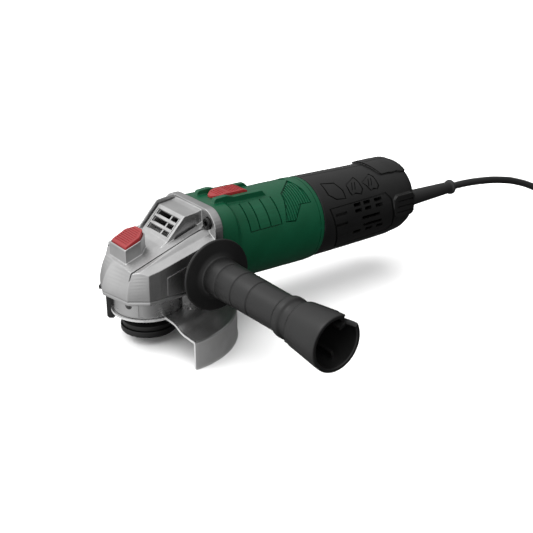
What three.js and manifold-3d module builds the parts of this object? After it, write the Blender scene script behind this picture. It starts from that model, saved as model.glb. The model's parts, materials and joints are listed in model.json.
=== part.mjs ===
// Corded angle grinder with a 125 mm guard, side handle and mains lead.
// Millimetres, Z up.  Everything is drawn round the output spindle: the spindle
// stands on the Z axis, the motor lies along +X, the side handle points to -Y and
// z = 0 is the lower rim of the guard.  The last lines move the finished group so
// that its origin is the middle of the footprint.
import * as THREE from "three";
import { mergeVertices } from "three/addons/utils/BufferGeometryUtils.js";
import Module from "manifold-3d";

const wasm = await Module();
wasm.setup();

// ---------------------------------------------------------------- driving sizes
const GAP = 0.3;                 // clearance between neighbouring pieces
const AXIS_Z = 65;               // height of the motor axis
const HEAD_R = 36.5;             // nose radius of the gear head
const HEAD_HALF = 36;            // half width of the gear head
const HEAD_BASE = 46.2;          // underside of the gear housing
const PLATE_X = 39;              // front face of the head's rear plate
const PLATE_T = 7;               // plate thickness
const BODY_R = 34;               // radius of the motor housing
const BODY_WALL = 2.6;           // its wall
const BODY_END = 146.7;          // rear end of the motor housing
const TAIL_END = 259.7;          // rear end of the rear handle
const LEAD_Z = 53;               // height of the lead where it leaves the tail
const LEAD_D = 7;                // diameter of the lead
const RELIEF_L = 74.3;           // bend relief, from the tail to its tip
const GUARD_R = 67.6;            // outer radius of the guard
const GUARD_H = 22.2;            // height of its skirt
const SHEET = 1.8;               // guard sheet thickness
const HUB_Z = 26.2;              // top of the guard's hub plate
const NECK_R = 24;               // neck that carries the guard
const COLLAR_T = 1.7;            // wall of the guard's clamp collar
const NUT_R = 21.7;              // clamping nut radius
const SEAT_Z = 13;               // disc seat on the support flange
const SPINDLE_R = 7;             // M14 spindle end
const HANDLE_X = 30;             // side handle axis
const HANDLE_Z = 60;
const HANDLE_END = 182;          // reach of the side handle from the spindle
const GRIP_R = 14;               // grip radius
const STUD_R = 4;                // M8 handle stud
const PINION_TEETH = 11;
const CROWN_TEETH = 36;
const PRESS = 3.2;               // travel of the spindle lock
const SLIDE = 8;                 // travel of the switch slider

// ---------------------------------------------------------------- solid helpers
const RAD = Math.PI / 180;

// Welded copy of a geometry: positions only, no collapsed triangles, faces outward.
function clean(geometry) {
  const bare = new THREE.BufferGeometry();
  bare.setAttribute("position", geometry.getAttribute("position").clone());
  if (geometry.index) bare.setIndex(geometry.index.clone());
  const welded = mergeVertices(bare, 1e-4);
  const p = welded.getAttribute("position").array;
  const kept = [];
  let volume = 0;
  for (let i = 0; i < welded.index.count; i += 3) {
    const [a, b, c] = [0, 1, 2].map((k) => welded.index.getX(i + k));
    if (a === b || b === c || a === c) continue;
    kept.push(a, b, c);
    const [A, B, C] = [a, b, c].map((k) => new THREE.Vector3().fromArray(p, 3 * k));
    volume += A.dot(B.cross(C));
  }
  if (volume < 0) {
    for (let i = 0; i < kept.length; i += 3) [kept[i], kept[i + 1]] = [kept[i + 1], kept[i]];
  }
  welded.setIndex(kept);
  return welded;
}

function toSolid(geometry) {
  const g = clean(geometry);
  return new wasm.Manifold(new wasm.Mesh({
    numProp: 3,
    vertProperties: Float32Array.from(g.getAttribute("position").array),
    triVerts: Uint32Array.from(g.index.array),
  }));
}

function fromSolid(solid) {
  const mesh = solid.getMesh();
  const g = new THREE.BufferGeometry();
  g.setAttribute("position", new THREE.Float32BufferAttribute(mesh.vertProperties, 3));
  g.setIndex(Array.from(mesh.triVerts));
  return g;
}

const join = (...parts) => fromSolid(parts.map(toSolid).reduce((a, b) => a.add(b)));
const cut = (body, ...tools) => fromSolid(tools.map(toSolid).reduce((a, b) => a.subtract(b), toSolid(body)));
const common = (a, b) => fromSolid(toSolid(a).intersect(toSolid(b)));
const at = (g, x, y, z) => g.translate(x, y, z);
const polar = (g, r, deg) => g.translate(r * Math.cos(deg * RAD), r * Math.sin(deg * RAD), 0);

function box([x0, x1], [y0, y1], [z0, z1]) {
  const g = new THREE.BoxGeometry(x1 - x0, y1 - y0, z1 - z0);
  return g.translate((x0 + x1) / 2, (y0 + y1) / 2, (z0 + z1) / 2);
}

// Flat outline pushed along an axis: "z" takes (x, y) points, "x" takes (y, z), "y" takes (x, z).
function prism(points, axis, from, to) {
  const shape = new THREE.Shape(points.map(([a, b]) => new THREE.Vector2(a, b)));
  const g = new THREE.ExtrudeGeometry(shape, { depth: to - from, bevelEnabled: false, curveSegments: 8 });
  if (axis === "z") return g.translate(0, 0, from);
  if (axis === "x") {
    return g.applyMatrix4(new THREE.Matrix4().set(0, 0, 1, from, 1, 0, 0, 0, 0, 1, 0, 0, 0, 0, 0, 1));
  }
  return g.rotateX(Math.PI / 2).translate(0, to, 0);
}

// Turned solid from [radius, height] points, standing on the axis named.
function turned(profile, axis = "z", segments = 28) {
  const closed = profile[0][0] === 0 && profile[profile.length - 1][0] === 0;
  const points = profile.map(([r, h]) => new THREE.Vector2(r, h));
  if (!closed) points.push(points[0].clone());
  const g = new THREE.LatheGeometry(points, segments);
  if (axis === "z") return g.rotateX(Math.PI / 2);
  if (axis === "x") return g.rotateZ(-Math.PI / 2);
  return g;
}

const rod = (r, from, to, axis = "z", segments = 14) =>
  turned([[0, from], [r, from], [r, to], [0, to]], axis, segments);
const tube = (r0, r1, from, to, axis = "z", segments = 28) =>
  turned([[r0, from], [r1, from], [r1, to], [r0, to]], axis, segments);

// Closed skin through rings that all have the same number of points.  A hollow one
// joins its last ring to its first; any other gets a flat cap at each end.
function loft(rings, hollow = false) {
  const n = rings[0].length;
  const index = [];
  const bands = hollow ? rings.length : rings.length - 1;
  for (let k = 0; k < bands; k += 1) {
    const next = ((k + 1) % rings.length) * n;
    for (let i = 0; i < n; i += 1) {
      const j = (i + 1) % n;
      index.push(k * n + i, k * n + j, next + j, k * n + i, next + j, next + i);
    }
  }
  const last = (rings.length - 1) * n;
  for (let i = 1; i + 1 < n && !hollow; i += 1) {
    index.push(0, i + 1, i);
    index.push(last, last + i, last + i + 1);
  }
  const g = new THREE.BufferGeometry();
  g.setAttribute("position", new THREE.Float32BufferAttribute(rings.flat(2), 3));
  g.setIndex(index);
  return g;
}

// Section of the long body at x: half width, height above and below the motor axis,
// squareness (2 is round, more is boxier).
function bodyRing(x, half, up, down, square = 2, count = 32) {
  return Array.from({ length: count }, (_, i) => {
    const t = (2 * Math.PI * i) / count;
    const c = Math.sign(Math.cos(t)) * Math.abs(Math.cos(t)) ** (2 / square);
    const s = Math.sign(Math.sin(t)) * Math.abs(Math.sin(t)) ** (2 / square);
    return [x, half * c, AXIS_Z + (s > 0 ? up : down) * s];
  });
}

// Piece of a flat ring between two angles in degrees, as outline points about (0, centre).
function sector(r0, r1, a0, a1, centre = AXIS_Z, steps = 8) {
  const arc = (r, from, to) => Array.from({ length: steps + 1 }, (_, i) => {
    const t = (from + ((to - from) * i) / steps) * RAD;
    return [r * Math.cos(t), centre + r * Math.sin(t)];
  });
  return [...arc(r1, a0, a1), ...arc(r0, a1, a0)];
}

// Round bar swept along a smooth line through the points.
function sweep(points, radius, sides, steps) {
  const path = new THREE.CatmullRomCurve3(points.map((p) => new THREE.Vector3(...p)), false, "centripetal");
  const ring = Array.from({ length: sides }, (_, i) => {
    const t = (2 * Math.PI * i) / sides;
    return new THREE.Vector2(radius * Math.cos(t), radius * Math.sin(t));
  });
  return new THREE.ExtrudeGeometry(new THREE.Shape(ring), { steps, extrudePath: path });
}

// Cap screw along an axis: head between h0 and h1, plain shank from h1 to h2.
function screw(headR, shankR, h0, h1, h2, axis) {
  const body = turned([[0, h0], [headR, h0], [headR, h1], [shankR, h1], [shankR, h2], [0, h2]], axis, 10);
  const socket = rod(headR * 0.55, h0 - Math.sign(h1 - h0), h0 + (h1 - h0) * 0.6, axis, 6);
  return cut(body, socket);
}

const finishes = {
  cast: { color: 0x9a9ca0, metalness: 0.7, roughness: 0.45 },
  steel: { color: 0x8d9196, metalness: 0.9, roughness: 0.35 },
  black_steel: { color: 0x17181a, metalness: 0.6, roughness: 0.45 },
  green: { color: 0x0c5237, metalness: 0, roughness: 0.45 },
  black: { color: 0x191a1b, metalness: 0, roughness: 0.6 },
  red: { color: 0xc2272d, metalness: 0, roughness: 0.4 },
  copper: { color: 0xb4642f, metalness: 0.8, roughness: 0.4 },
  dark_iron: { color: 0x4a4d52, metalness: 0.6, roughness: 0.6 },
  carbon: { color: 0x2b2b2d, metalness: 0.1, roughness: 0.8 },
  felt: { color: 0x6f6a60, metalness: 0, roughness: 0.95 },
  brass: { color: 0xb08d46, metalness: 0.8, roughness: 0.35 },
};
const root = new THREE.Group();
const leadNames = [];
function add(name, geometry, finish, isLead = false) {
  const mesh = new THREE.Mesh(clean(geometry), new THREE.MeshStandardMaterial(finishes[finish]));
  mesh.name = name;
  if (isLead) leadNames.push(name);
  root.add(mesh);
}

// ---------------------------------------------------------------- gear head
const PLATE_END = PLATE_X + PLATE_T;
const BORE_R = BODY_R - BODY_WALL - 0.2;    // bore of the motor housing
const RIM_R = BORE_R - 0.4;                 // rim of the gear housing that centres it
const PLATE_HALF = BODY_R + 2;              // half size of the rear plate
const HEAD_SCREW_Y = PLATE_HALF - 9.5;      // screws through the plate, from the motor axis
const HEAD_SCREW_Z = PLATE_HALF - 10;
const COVER_SCREW_R = HEAD_R - 5;           // circle of the cover screws
const DIAGONALS = [45, 135, 225, 315];
const CHAMBER_R = 24;                       // gear chamber
const CHAMBER_TOP = 62;
const BEARING_R = 13;                       // front motor bearing
const BEARING_X = 30;
const DUCT_HALF = 15;
const LOCK_X = -9.5;                        // lock pin

const atHeadScrew = (g, sy, sz) => g.translate(0, HEAD_SCREW_Y * sy, AXIS_Z + HEAD_SCREW_Z * sz);

// Plan outline of the head, nose radius r.
function headOutline(r, back, grow = 0) {
  const half = HEAD_HALF + grow;
  const nose = [115, 141, 154, 167, 180, 193, 206, 219, 245].map((deg) => {
    const t = deg * RAD;
    return [(r + grow) * Math.cos(t), Math.max(-half, Math.min(half, (r + grow) * Math.sin(t)))];
  });
  return [[back, half], [-9, half], ...nose, [-9, -half], [back, -half]];
}

const shoulderZ = (x) => 66.8 + 0.257 * (x + 14.8);    // lower edge of the side shoulder
const ridgeZ = (x) => 70 + 0.249 * (x + 14.8);         // upper edge of the shoulder
const deckZ = (x) => 68 + 0.336 * (x + 24);            // edge of the sloping deck

function headSection(x) {
  const side = [[HEAD_HALF, HEAD_BASE], [HEAD_HALF, shoulderZ(x)], [30, ridgeZ(x)], [25, deckZ(x)],
    [14, deckZ(x) + 3]];
  const other = side.map(([y, z]) => [-y, z]).reverse();
  return [...side, ...other].map(([y, z]) => [x, y, z]);
}

function gearHousing() {
  const plan = [[HEAD_BASE, HEAD_R], [61.5, HEAD_R], [71, HEAD_R - 9.5], [110, HEAD_R - 13]]
    .map(([z, r]) => headOutline(r, PLATE_END).map(([x, y]) => [x, y, z]));
  let body = common(loft([headSection(-HEAD_R - 1), headSection(PLATE_END)]), loft(plan));
  const half = PLATE_HALF;
  const corner = 9;
  const plate = [[half, corner - half], [half, half - corner], [half - corner, half], [corner - half, half],
    [-half, half - corner], [-half, corner - half], [corner - half, -half], [half - corner, -half]]
    .map(([y, z]) => [y, AXIS_Z + z]);
  const web = [[34.5, HEAD_BASE + 4], [34.5, HEAD_BASE], [38, AXIS_Z - 30], [PLATE_X + 1, AXIS_Z - 30],
    [PLATE_X + 1, HEAD_BASE + 4]];
  const tower = [[1.5, 74], [1.5, 77], [8.5, 80.5], [24, 96.8], [34.7, 98], [PLATE_X + 1, 99.5],
    [PLATE_X + 1, 74]];
  const lockTower = [[-23, 12.2], [-23, -12.2], [-10, -12.2], [-2.6, -5.6], [-2.6, 5.6], [-10, 12.2]];
  const lockCut = [[-30, 76.9], [10, 91.3], [10, 110], [-30, 110]];
  body = join(
    body,
    prism(plate, "x", PLATE_X, PLATE_END),
    prism(web, "y", -28, 28),
    prism(tower, "y", -18, 18),
    cut(prism(lockTower, "z", 68, 90), prism(lockCut, "y", -20, 20)),
    prism([[18, 46.2], [42, 46.2], [42, 74], [18, 70]], "y", -HEAD_HALF - 1, HEAD_HALF + 1),
    tube(RIM_R - 2.4, RIM_R, PLATE_END - 1, PLATE_END + 4, "x").translate(0, 0, AXIS_Z),
  );
  const duct = [[14, 80], [25, 92.5], [PLATE_END + 1, 93.5], [PLATE_END + 1, 80]];
  const slots = [];
  for (const row of [0, 1, 2]) {
    for (const side of [-1, 1]) {
      const slot = box([-1.3, 1.3], [side * 7.6 - 6, side * 7.6 + 6], [-9, 3]).rotateY(-43.6 * RAD);
      slots.push(at(slot, 11.8 + 4.3 * row, 0, 84 + 4.5 * row));
    }
  }
  const button = [[-21.9, 11.1], [-21.9, -11.1], [-9.6, -11.1], [-3.6, -5.2], [-3.6, 5.2], [-9.6, 11.1]];
  const screwHoles = [-1, 1].flatMap((sy) => [-1, 1].flatMap((sz) => [
    atHeadScrew(rod(2.3, PLATE_X - 20, PLATE_END + 1, "x", 10), sy, sz),
    atHeadScrew(rod(4.4, PLATE_X - 20, PLATE_X + 2, "x", 10), sy, sz),
  ]));
  const coverHoles = DIAGONALS.map((deg) => polar(rod(2.3, HEAD_BASE - 1, 56, "z", 12), COVER_SCREW_R, deg));
  const studHoles = [-1, 1].map((side) =>
    rod(STUD_R + GAP, 20, 40, "y", 14).scale(1, side, 1).translate(HANDLE_X, 0, HANDLE_Z));
  const grooves = [-1, 1].map((side) =>
    loft([-26.5, 36].map((x) => [[-0.5, -2.2], [0.5, -2.2], [0.5, 4], [-0.5, 4]]
      .map(([dy, dz]) => [x, side * (25.2 + dy), deckZ(x) + dz]))));
  return cut(
    body,
    rod(CHAMBER_R, HEAD_BASE - 1, CHAMBER_TOP, "z", 28),
    rod(6 + GAP, CHAMBER_TOP - 1, 68.6, "z", 24),
    rod(9, 8, BEARING_X, "x", 24).translate(0, 0, AXIS_Z),
    rod(BEARING_R + GAP, BEARING_X - GAP, PLATE_END + 9, "x", 24).translate(0, 0, AXIS_Z),
    rod(RIM_R - 2.4, PLATE_END - 3, PLATE_END + 9, "x", 28).translate(0, 0, AXIS_Z),
    prism(duct, "y", -DUCT_HALF, DUCT_HALF),
    prism(button, "z", 70, 95),
    rod(2.6, CHAMBER_TOP - 1, 71, "z", 10).translate(LOCK_X, 0, 0),
    ...slots, ...screwHoles, ...coverHoles, ...studHoles, ...grooves,
  );
}
add("gear_housing", gearHousing(), "cast");

const COVER_Z = 42.6;                       // underside of the cover flange
const BALL_R = 16;                          // spindle bearing
const BALL_Z = 33.5;
function gearCover() {
  const flange = prism(headOutline(HEAD_R, 31, -0.5), "z", COVER_Z, HEAD_BASE - GAP);
  const spigot = rod(CHAMBER_R - GAP, HEAD_BASE - 1, HEAD_BASE + 2.4, "z", 28);
  const body = join(flange, rod(NECK_R, HUB_Z - 1.4, COVER_Z + 1, "z", 28), spigot);
  const screws = DIAGONALS.flatMap((deg) => [[2.3, COVER_Z - 1, HEAD_BASE], [4, COVER_Z - 1, COVER_Z + 2]]
    .map(([r, a, b]) => polar(rod(r, a, b, "z", 10), COVER_SCREW_R, deg)));
  return cut(
    body,
    rod(BALL_R + GAP, BALL_Z - GAP, HEAD_BASE + 4, "z", 28),
    rod(12.3, HUB_Z + 1, BALL_Z + 1, "z", 24),
    rod(10, HUB_Z - 3, HUB_Z + 2, "z", 24),
    ...screws,
  );
}
add("gear_cover", gearCover(), "cast");
DIAGONALS.forEach((deg, i) => {
  const s = screw(3.7, 2, COVER_Z + 0.1, COVER_Z + 1.7, 55, "z");
  add(`cover_screw_${i + 1}`, polar(s, COVER_SCREW_R, deg), "steel");
});
[[-1, 1], [1, 1], [-1, -1], [1, -1]].forEach(([sy, sz], i) => {
  const s = screw(4.1, 2, PLATE_X - 2.2, PLATE_X + 1.7, PLATE_END + 12, "x");
  add(`head_screw_${i + 1}`, atHeadScrew(s, sy, sz), "black_steel");
});

// ---------------------------------------------------------------- spindle and gears
add("spindle", turned([[0, 5], [6, 5], [SPINDLE_R, 6], [SPINDLE_R, 22.4], [9.2, 22.4], [9.2, BALL_Z - 0.3],
  [6, BALL_Z - 0.3], [6, 61], [4, 61], [4, 67.8], [0, 67.8]], "z", 24), "steel");
add("spindle_bearing", turned([[6 + GAP, BALL_Z], [BALL_R, BALL_Z], [BALL_R, BALL_Z + 10], [13, BALL_Z + 10],
  [12.6, BALL_Z + 9], [9.4, BALL_Z + 9], [9, BALL_Z + 10], [6 + GAP, BALL_Z + 10]], "z", 24), "steel");
add("dust_seal", tube(9.2 + GAP, 12, HUB_Z + 1.3, BALL_Z - 0.6, "z", 24), "felt");
add("upper_bush", tube(4 + GAP, 6, CHAMBER_TOP + 0.8, 68.2, "z", 24), "brass");

const gearAngle = Math.atan(PINION_TEETH / CROWN_TEETH);
function crownGear() {
  const slope = Math.tan(gearAngle);
  const [inner, outer] = [13.4, 20.4];
  const plain = (r, z) => Array.from({ length: 2 * CROWN_TEETH }, (_, i) => {
    const t = (Math.PI * i) / CROWN_TEETH;
    return [r * Math.cos(t), r * Math.sin(t), z];
  });
  const toothed = (r) => plain(r, AXIS_Z - r * slope)
    .map(([x, y, z], i) => [x, y, z + (i % 2 ? -0.075 : 0.04) * r]);
  return loft([plain(6 + GAP, 47), plain(10, 47), plain(10, 50), plain(outer, 52), toothed(outer),
    toothed(inner), plain(inner - 0.6, 57.6), plain(6 + GAP, 57.6)], true);
}
add("crown_gear", crownGear(), "steel");

function pinionGear() {
  const [x0, x1] = [13.6, 21];
  const ring = (x) => {
    const pitch = (x * PINION_TEETH) / CROWN_TEETH;
    const points = [];
    for (let i = 0; i < PINION_TEETH; i += 1) {
      const mid = -Math.PI / 2 + ((i + 0.5) * 2 * Math.PI) / PINION_TEETH;
      for (const [dr, da] of [[-0.24, -0.2], [0.14, -0.07], [0.14, 0.07], [-0.24, 0.2]]) {
        const r = pitch * (1 + dr);
        points.push([x, r * Math.cos(mid + da), AXIS_Z + r * Math.sin(mid + da)]);
      }
    }
    return points;
  };
  const blank = loft([ring(x0), ring(x1)]);
  return cut(join(blank, rod(4.4, x1 - 0.5, x1 + 3, "x", 24).translate(0, 0, AXIS_Z)),
    rod(2.2 + GAP, 10, 30, "x", 14).translate(0, 0, AXIS_Z));
}
add("pinion", pinionGear(), "steel");

const seatProfile = [[SPINDLE_R + GAP, SEAT_Z - 1.2], [11, SEAT_Z - 1.2], [11, SEAT_Z], [20.5, SEAT_Z],
  [20.5, SEAT_Z + 3.4], [15, SEAT_Z + 6], [11, 22], [SPINDLE_R + GAP, 22]];
add("support_flange", turned(seatProfile, "z", 24), "black_steel");
function clampingNut() {
  const top = SEAT_Z - GAP;
  const profile = [[SPINDLE_R + GAP, 6.4], [12, 6.4], [13, 7.6], [NUT_R - 1, 7.6], [NUT_R, 8.6],
    [NUT_R, top], [11.4, top], [11.4, top - 1.4], [SPINDLE_R + GAP, top - 1.4]];
  const body = turned(profile, "z", 28);
  const pinHoles = [0, 90, 180, 270].map((deg) =>
    rod(2.5, 4, 10, "z", 12).translate(15.5 * Math.cos(deg * RAD), 15.5 * Math.sin(deg * RAD), 0));
  return cut(body, ...pinHoles);
}
add("clamping_nut", clampingNut(), "black_steel");

// ---------------------------------------------------------------- spindle lock
function lockButton() {
  const outline = [[-21.5, 10.7], [-21.5, -10.7], [-9.8, -10.7], [-4, -5], [-4, 5], [-9.8, 10.7]];
  const top = [[-30, 77.4], [10, 96], [10, 120], [-30, 120]];
  const body = cut(prism(outline, "z", 74.2, 100), prism(top, "y", -20, 20));
  return cut(body, rod(1.8 + GAP, 70, 78, "z", 10).translate(LOCK_X, 0, 0));
}
add("lock_button", lockButton(), "red");
add("lock_pin", rod(1.8, 57.6 + PRESS + 0.5, 77.6, "z", 10).translate(LOCK_X, 0, 0), "steel");
function lockSpring() {
  const [z0, z1, turns] = [70.7, 73.5, 2.5];
  const points = Array.from({ length: 25 }, (_, i) => {
    const t = (i / 24) * turns * 2 * Math.PI;
    return [LOCK_X + 3.1 * Math.cos(t), 3.1 * Math.sin(t), z0 + ((z1 - z0) * i) / 24];
  });
  return sweep(points, 0.4, 6, 30);
}
add("lock_spring", lockSpring(), "steel");

// ---------------------------------------------------------------- guard
const COLLAR_R = NECK_R + GAP + COLLAR_T;
const HUB_EDGE_R = COLLAR_R + 2;            // front edge of the hub plate
const LEVER_R = COLLAR_R + 3.8;             // circle of the lever's pivot
const LEVER_DEG = 96;
function guardPlate() {
  const r = GUARD_R;
  const hub = NECK_R + 17;
  const profile = [[NECK_R + 0.6, HUB_Z], [hub, HUB_Z], [hub + 9, GUARD_H], [r - 1.2, GUARD_H],
    [r, GUARD_H - 1.2], [r, 1.2], [r + 0.6, 0], [r - SHEET, 0], [r - SHEET, GUARD_H - SHEET],
    [hub + 8.4, GUARD_H - SHEET], [hub - 0.6, HUB_Z - SHEET], [NECK_R + 0.6, HUB_Z - SHEET]];
  const keep = join(rod(HUB_EDGE_R, -1, 40, "z", 28), box([-1.4, r + 12], [-r - 12, r + 12], [-2, 41]));
  return common(turned(profile, "z", 56), keep);
}
add("guard", guardPlate(), "steel");

function guardCollar() {
  const ring = tube(NECK_R + GAP, COLLAR_R, HUB_Z + GAP, COVER_Z - GAP, "z", 36);
  const hole = rod(3, 15, 45, "x", 14).rotateZ(207 * RAD).translate(0, 0, 37);
  const split = box([15, 45], [-1.2, 1.2], [20, 50]).rotateZ(112 * RAD);
  const lug = box([COLLAR_R - 1, COLLAR_R + 7], [-3, 3], [30, 33]).rotateZ(LEVER_DEG * RAD);
  const pivot = polar(rod(1.8, 20, 50, "z", 10), LEVER_R, LEVER_DEG);
  return cut(join(ring, lug), hole, split, pivot);
}
add("guard_collar", guardCollar(), "steel");

// Clamp lever: hugs the collar from its pivot to the front left, with a finger tab.
function guardLever() {
  const c = COLLAR_R;
  const foot = SEAT_Z + 1.6;
  const arm = prism(sector(c + 0.5, c + 3.6, LEVER_DEG + 8, LEVER_DEG + 44, 0, 10), "z", foot, 42);
  const eye = polar(rod(3.6, 34, 38.5, "z", 14), LEVER_R, LEVER_DEG);
  const bridge = prism(sector(c + 0.8, c + 5, LEVER_DEG, LEVER_DEG + 10, 0, 3), "z", 34, 38.5);
  const tab = prism([[c + 0.5, foot], [c + 4.5, foot], [c + 5.8, foot + 1.8], [c + 5.8, 39], [c + 10.6, 39],
    [c + 10.6, 42], [c + 0.5, 42]], "y", -1.8, 1.8).rotateZ((LEVER_DEG + 45) * RAD);
  const pivot = polar(rod(1.8, 20, 50, "z", 10), LEVER_R, LEVER_DEG);
  const hubNotch = tube(c - 6, HUB_EDGE_R + 0.4, HUB_Z - SHEET - GAP, HUB_Z + GAP, "z", 36);
  return cut(join(arm, eye, bridge, tab), pivot, hubNotch);
}
add("guard_lever", guardLever(), "black");
add("lever_pin", polar(rod(1.5, 29.5, 39.5, "z", 10), LEVER_R, LEVER_DEG), "steel");

// ---------------------------------------------------------------- motor housing
const SPIGOT_R = BODY_R - 3.7;              // rear rim that the handle shells close on
const ROD_Z = AXIS_Z + BODY_R - 4.2;        // underside of the switch rod
const REAR_WALL = BODY_END - 4.7;
const slotX = [60.5, 60.5 + 14 + SLIDE];    // slot under the slider
const front = PLATE_END + GAP;
const crownZ = AXIS_Z + BODY_R;             // top of the round body
function housingSkin(grow = 0) {
  const r = BODY_R + grow;
  return loft([
    bodyRing(front, r + 1.4, r + 0.6, r + 0.6, 3.4), bodyRing(front + 11, r + 1.2, r + 0.6, r + 0.6, 3.4),
    bodyRing(front + 20, r + 0.4, r, r, 2.5), bodyRing(front + 34, r, r, r, 2.1),
    bodyRing(BODY_END - 8, r, r, r), bodyRing(BODY_END, r - 0.6, r - 0.6, r - 0.6),
  ]);
}
function motorHousing() {
  const shell = housingSkin();
  const cheek = [[50, -4], [54.5, 4], [65, 4.4], [71, 2.4], [98, 2], [103, -4]]
    .map(([x, z]) => [x, crownZ + z]);
  const cheeks = [-1, 1].map((s) => prism(cheek, "y", Math.min(9.4 * s, 14 * s), Math.max(9.4 * s, 14 * s)));
  const bore = rod(BORE_R, front - 1, REAR_WALL, "x", 36).translate(0, 0, AXIS_Z);
  const hollow = cut(join(shell, ...cheeks), bore);
  const body = join(
    hollow,
    tube(SPIGOT_R - 2.3, SPIGOT_R, BODY_END - 1, BODY_END + 5.5, "x", 36).translate(0, 0, AXIS_Z),
    rod(12.5, REAR_WALL, BODY_END + 9, "x", 24).translate(0, 0, AXIS_Z),
  );
  const windows = DIAGONALS.map((deg) =>
    prism(sector(15, BORE_R - 4.7, deg - 32, deg + 32, AXIS_Z), "x", REAR_WALL - 1, BODY_END + 1));
  const screwHoles = [-1, 1].flatMap((sy) => [-1, 1].map((sz) =>
    atHeadScrew(rod(2.3, front - 1, front + 13.2, "x", 10), sy, sz)));
  return cut(
    body,
    rod(4.8, REAR_WALL - 1, BODY_END + 12, "x", 24).translate(0, 0, AXIS_Z),
    rod(9.8, BODY_END, BODY_END + 12, "x", 24).translate(0, 0, AXIS_Z),
    box([REAR_WALL - 2, BODY_END + 8], [-4.4, 4.4], [crownZ - 5, crownZ - 2.1]),
    box(slotX, [-3.4, 3.4], [crownZ - 6, crownZ + 11]),
    ...windows, ...screwHoles,
  );
}
add("motor_housing", motorHousing(), "green");

function switchSlider() {
  const outline = [[57.8, 2.2], [57.8, -2.2], [64, -7.6], [68, -8.2], [92, -8.2], [92, 8.2], [68, 8.2],
    [64, 7.6]];
  const side = [[50, 11], [50, 2], [57, 2.3], [70, 4.4], [90.5, 4.8], [95, 2.5], [95, 11]]
    .map(([x, z]) => [x, crownZ + z]);
  const top = cut(prism(outline, "z", crownZ - 2, crownZ + 9), prism(side, "y", -12, 12));
  const stem = box([slotX[0] + SLIDE + GAP, slotX[1] - GAP], [-3, 3], [crownZ - 3, crownZ + 1]);
  const travel = [0, SLIDE / 2, SLIDE].map((move) => housingSkin(GAP).translate(move, 0, 0));
  return join(cut(top, ...travel), stem);
}
add("switch_slider", switchSlider(), "red");
const ROD_END = BODY_END + 31.3;
add("switch_rod", join(box([68, ROD_END], [-2.6, 2.6], [ROD_Z, ROD_Z + 0.9]),
  box([ROD_END - 3, ROD_END], [-2.6, 2.6], [ROD_Z - 4.8, ROD_Z + 0.7])), "black");
const rodChannel = () => box([50, 130], [-3, 3], [ROD_Z - 0.4, ROD_Z + 6.2]);

// ---------------------------------------------------------------- motor
const onAxis = (g) => g.translate(0, 0, AXIS_Z);
add("front_bearing", onAxis(turned([[5 + GAP, BEARING_X], [BEARING_R, BEARING_X], [BEARING_R, BEARING_X + 8],
  [10.6, BEARING_X + 8], [10.2, BEARING_X + 7.2], [8, BEARING_X + 7.2], [7.6, BEARING_X + 8],
  [5 + GAP, BEARING_X + 8]], "x", 24)), "steel");
add("rear_bearing", onAxis(tube(4 + GAP, 9.5, BODY_END + GAP, BODY_END + 7.3, "x", 24)), "steel");
add("armature_shaft", onAxis(turned([[0, 12.6], [2.2, 12.6], [2.2, 24.4], [5, 24.4], [5, 140], [4, 140],
  [4, BODY_END + 7.6], [0, BODY_END + 7.6]], "x", 24)), "steel");
function fanWheel() {
  const tip = BORE_R - 4.2;
  const section = [[5 + GAP, 50.6], [tip, 50.6], [tip, 51.8], [9, 52.4], [9, 57], [5 + GAP, 57]];
  const disc = turned(section, "x", 28);
  const blades = Array.from({ length: 11 }, (_, i) =>
    box([51.2, 57], [-0.7, 0.7], [8, tip - 0.6]).rotateX((2 * Math.PI * i) / 11));
  return onAxis(join(disc, ...blades));
}
add("fan", fanWheel(), "black");
const baffleRing = turned([[20, 58.6], [BORE_R - GAP, 58.6], [BORE_R - GAP, 66], [BORE_R - 1.8, 66],
  [BORE_R - 1.8, 60.2], [20, 60.2]], "x", 36);
add("air_baffle", cut(onAxis(baffleRing), rodChannel()), "black");
add("armature_core", onAxis(tube(5 + GAP, 17, 74, 112, "x", 28)), "dark_iron");
add("armature_winding_front", onAxis(tube(5 + GAP, 14.5, 64.5, 73.7, "x", 24)), "copper");
add("armature_winding_rear", onAxis(tube(5 + GAP, 14.5, 112.3, 121.5, "x", 24)), "copper");
add("commutator", onAxis(tube(5 + GAP, 11.5, 123.5, 138, "x", 24)), "copper");

const coilArc = [28, 152];
const poleArc = [54, 126];
function fieldCoil() {
  return cut(prism(sector(18.8, BORE_R - 3.8, ...coilArc, 0, 16), "x", 64, 122),
    prism(sector(17, BORE_R - 2.2, ...poleArc, 0, 12), "x", 73.4, 112.6));
}
add("field_winding_upper", onAxis(fieldCoil()), "copper");
add("field_winding_lower", onAxis(fieldCoil().rotateX(Math.PI)), "copper");
function statorCore() {
  const sides = [[coilArc[0] - 1, poleArc[0] + 1], [poleArc[1] - 1, coilArc[1] + 1]];
  const slots = [0, 180].flatMap((turn) =>
    sides.map(([a, b]) => prism(sector(18.5, BORE_R - 3.5, a + turn, b + turn, 0), "x", 70, 120)));
  return cut(onAxis(cut(tube(17.7, BORE_R - GAP, 74, 112, "x", 36), ...slots)), rodChannel());
}
add("stator_core", statorCore(), "dark_iron");

for (const [name, s] of [["left", 1], ["right", -1]]) {
  const holder = cut(box([126, 136.4], [12.6, BORE_R - 2.2], [AXIS_Z - 5.2, AXIS_Z + 5.2]),
    box([127.9, 134.5], [10, BORE_R], [AXIS_Z - 3.5, AXIS_Z + 3.5]));
  const brush = box([128.2, 134.2], [11.8, 23], [AXIS_Z - 3.2, AXIS_Z + 3.2]);
  add(`brush_holder_${name}`, holder.scale(1, s, 1), "brass");
  add(`carbon_brush_${name}`, brush.scale(1, s, 1), "carbon");
}

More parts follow.
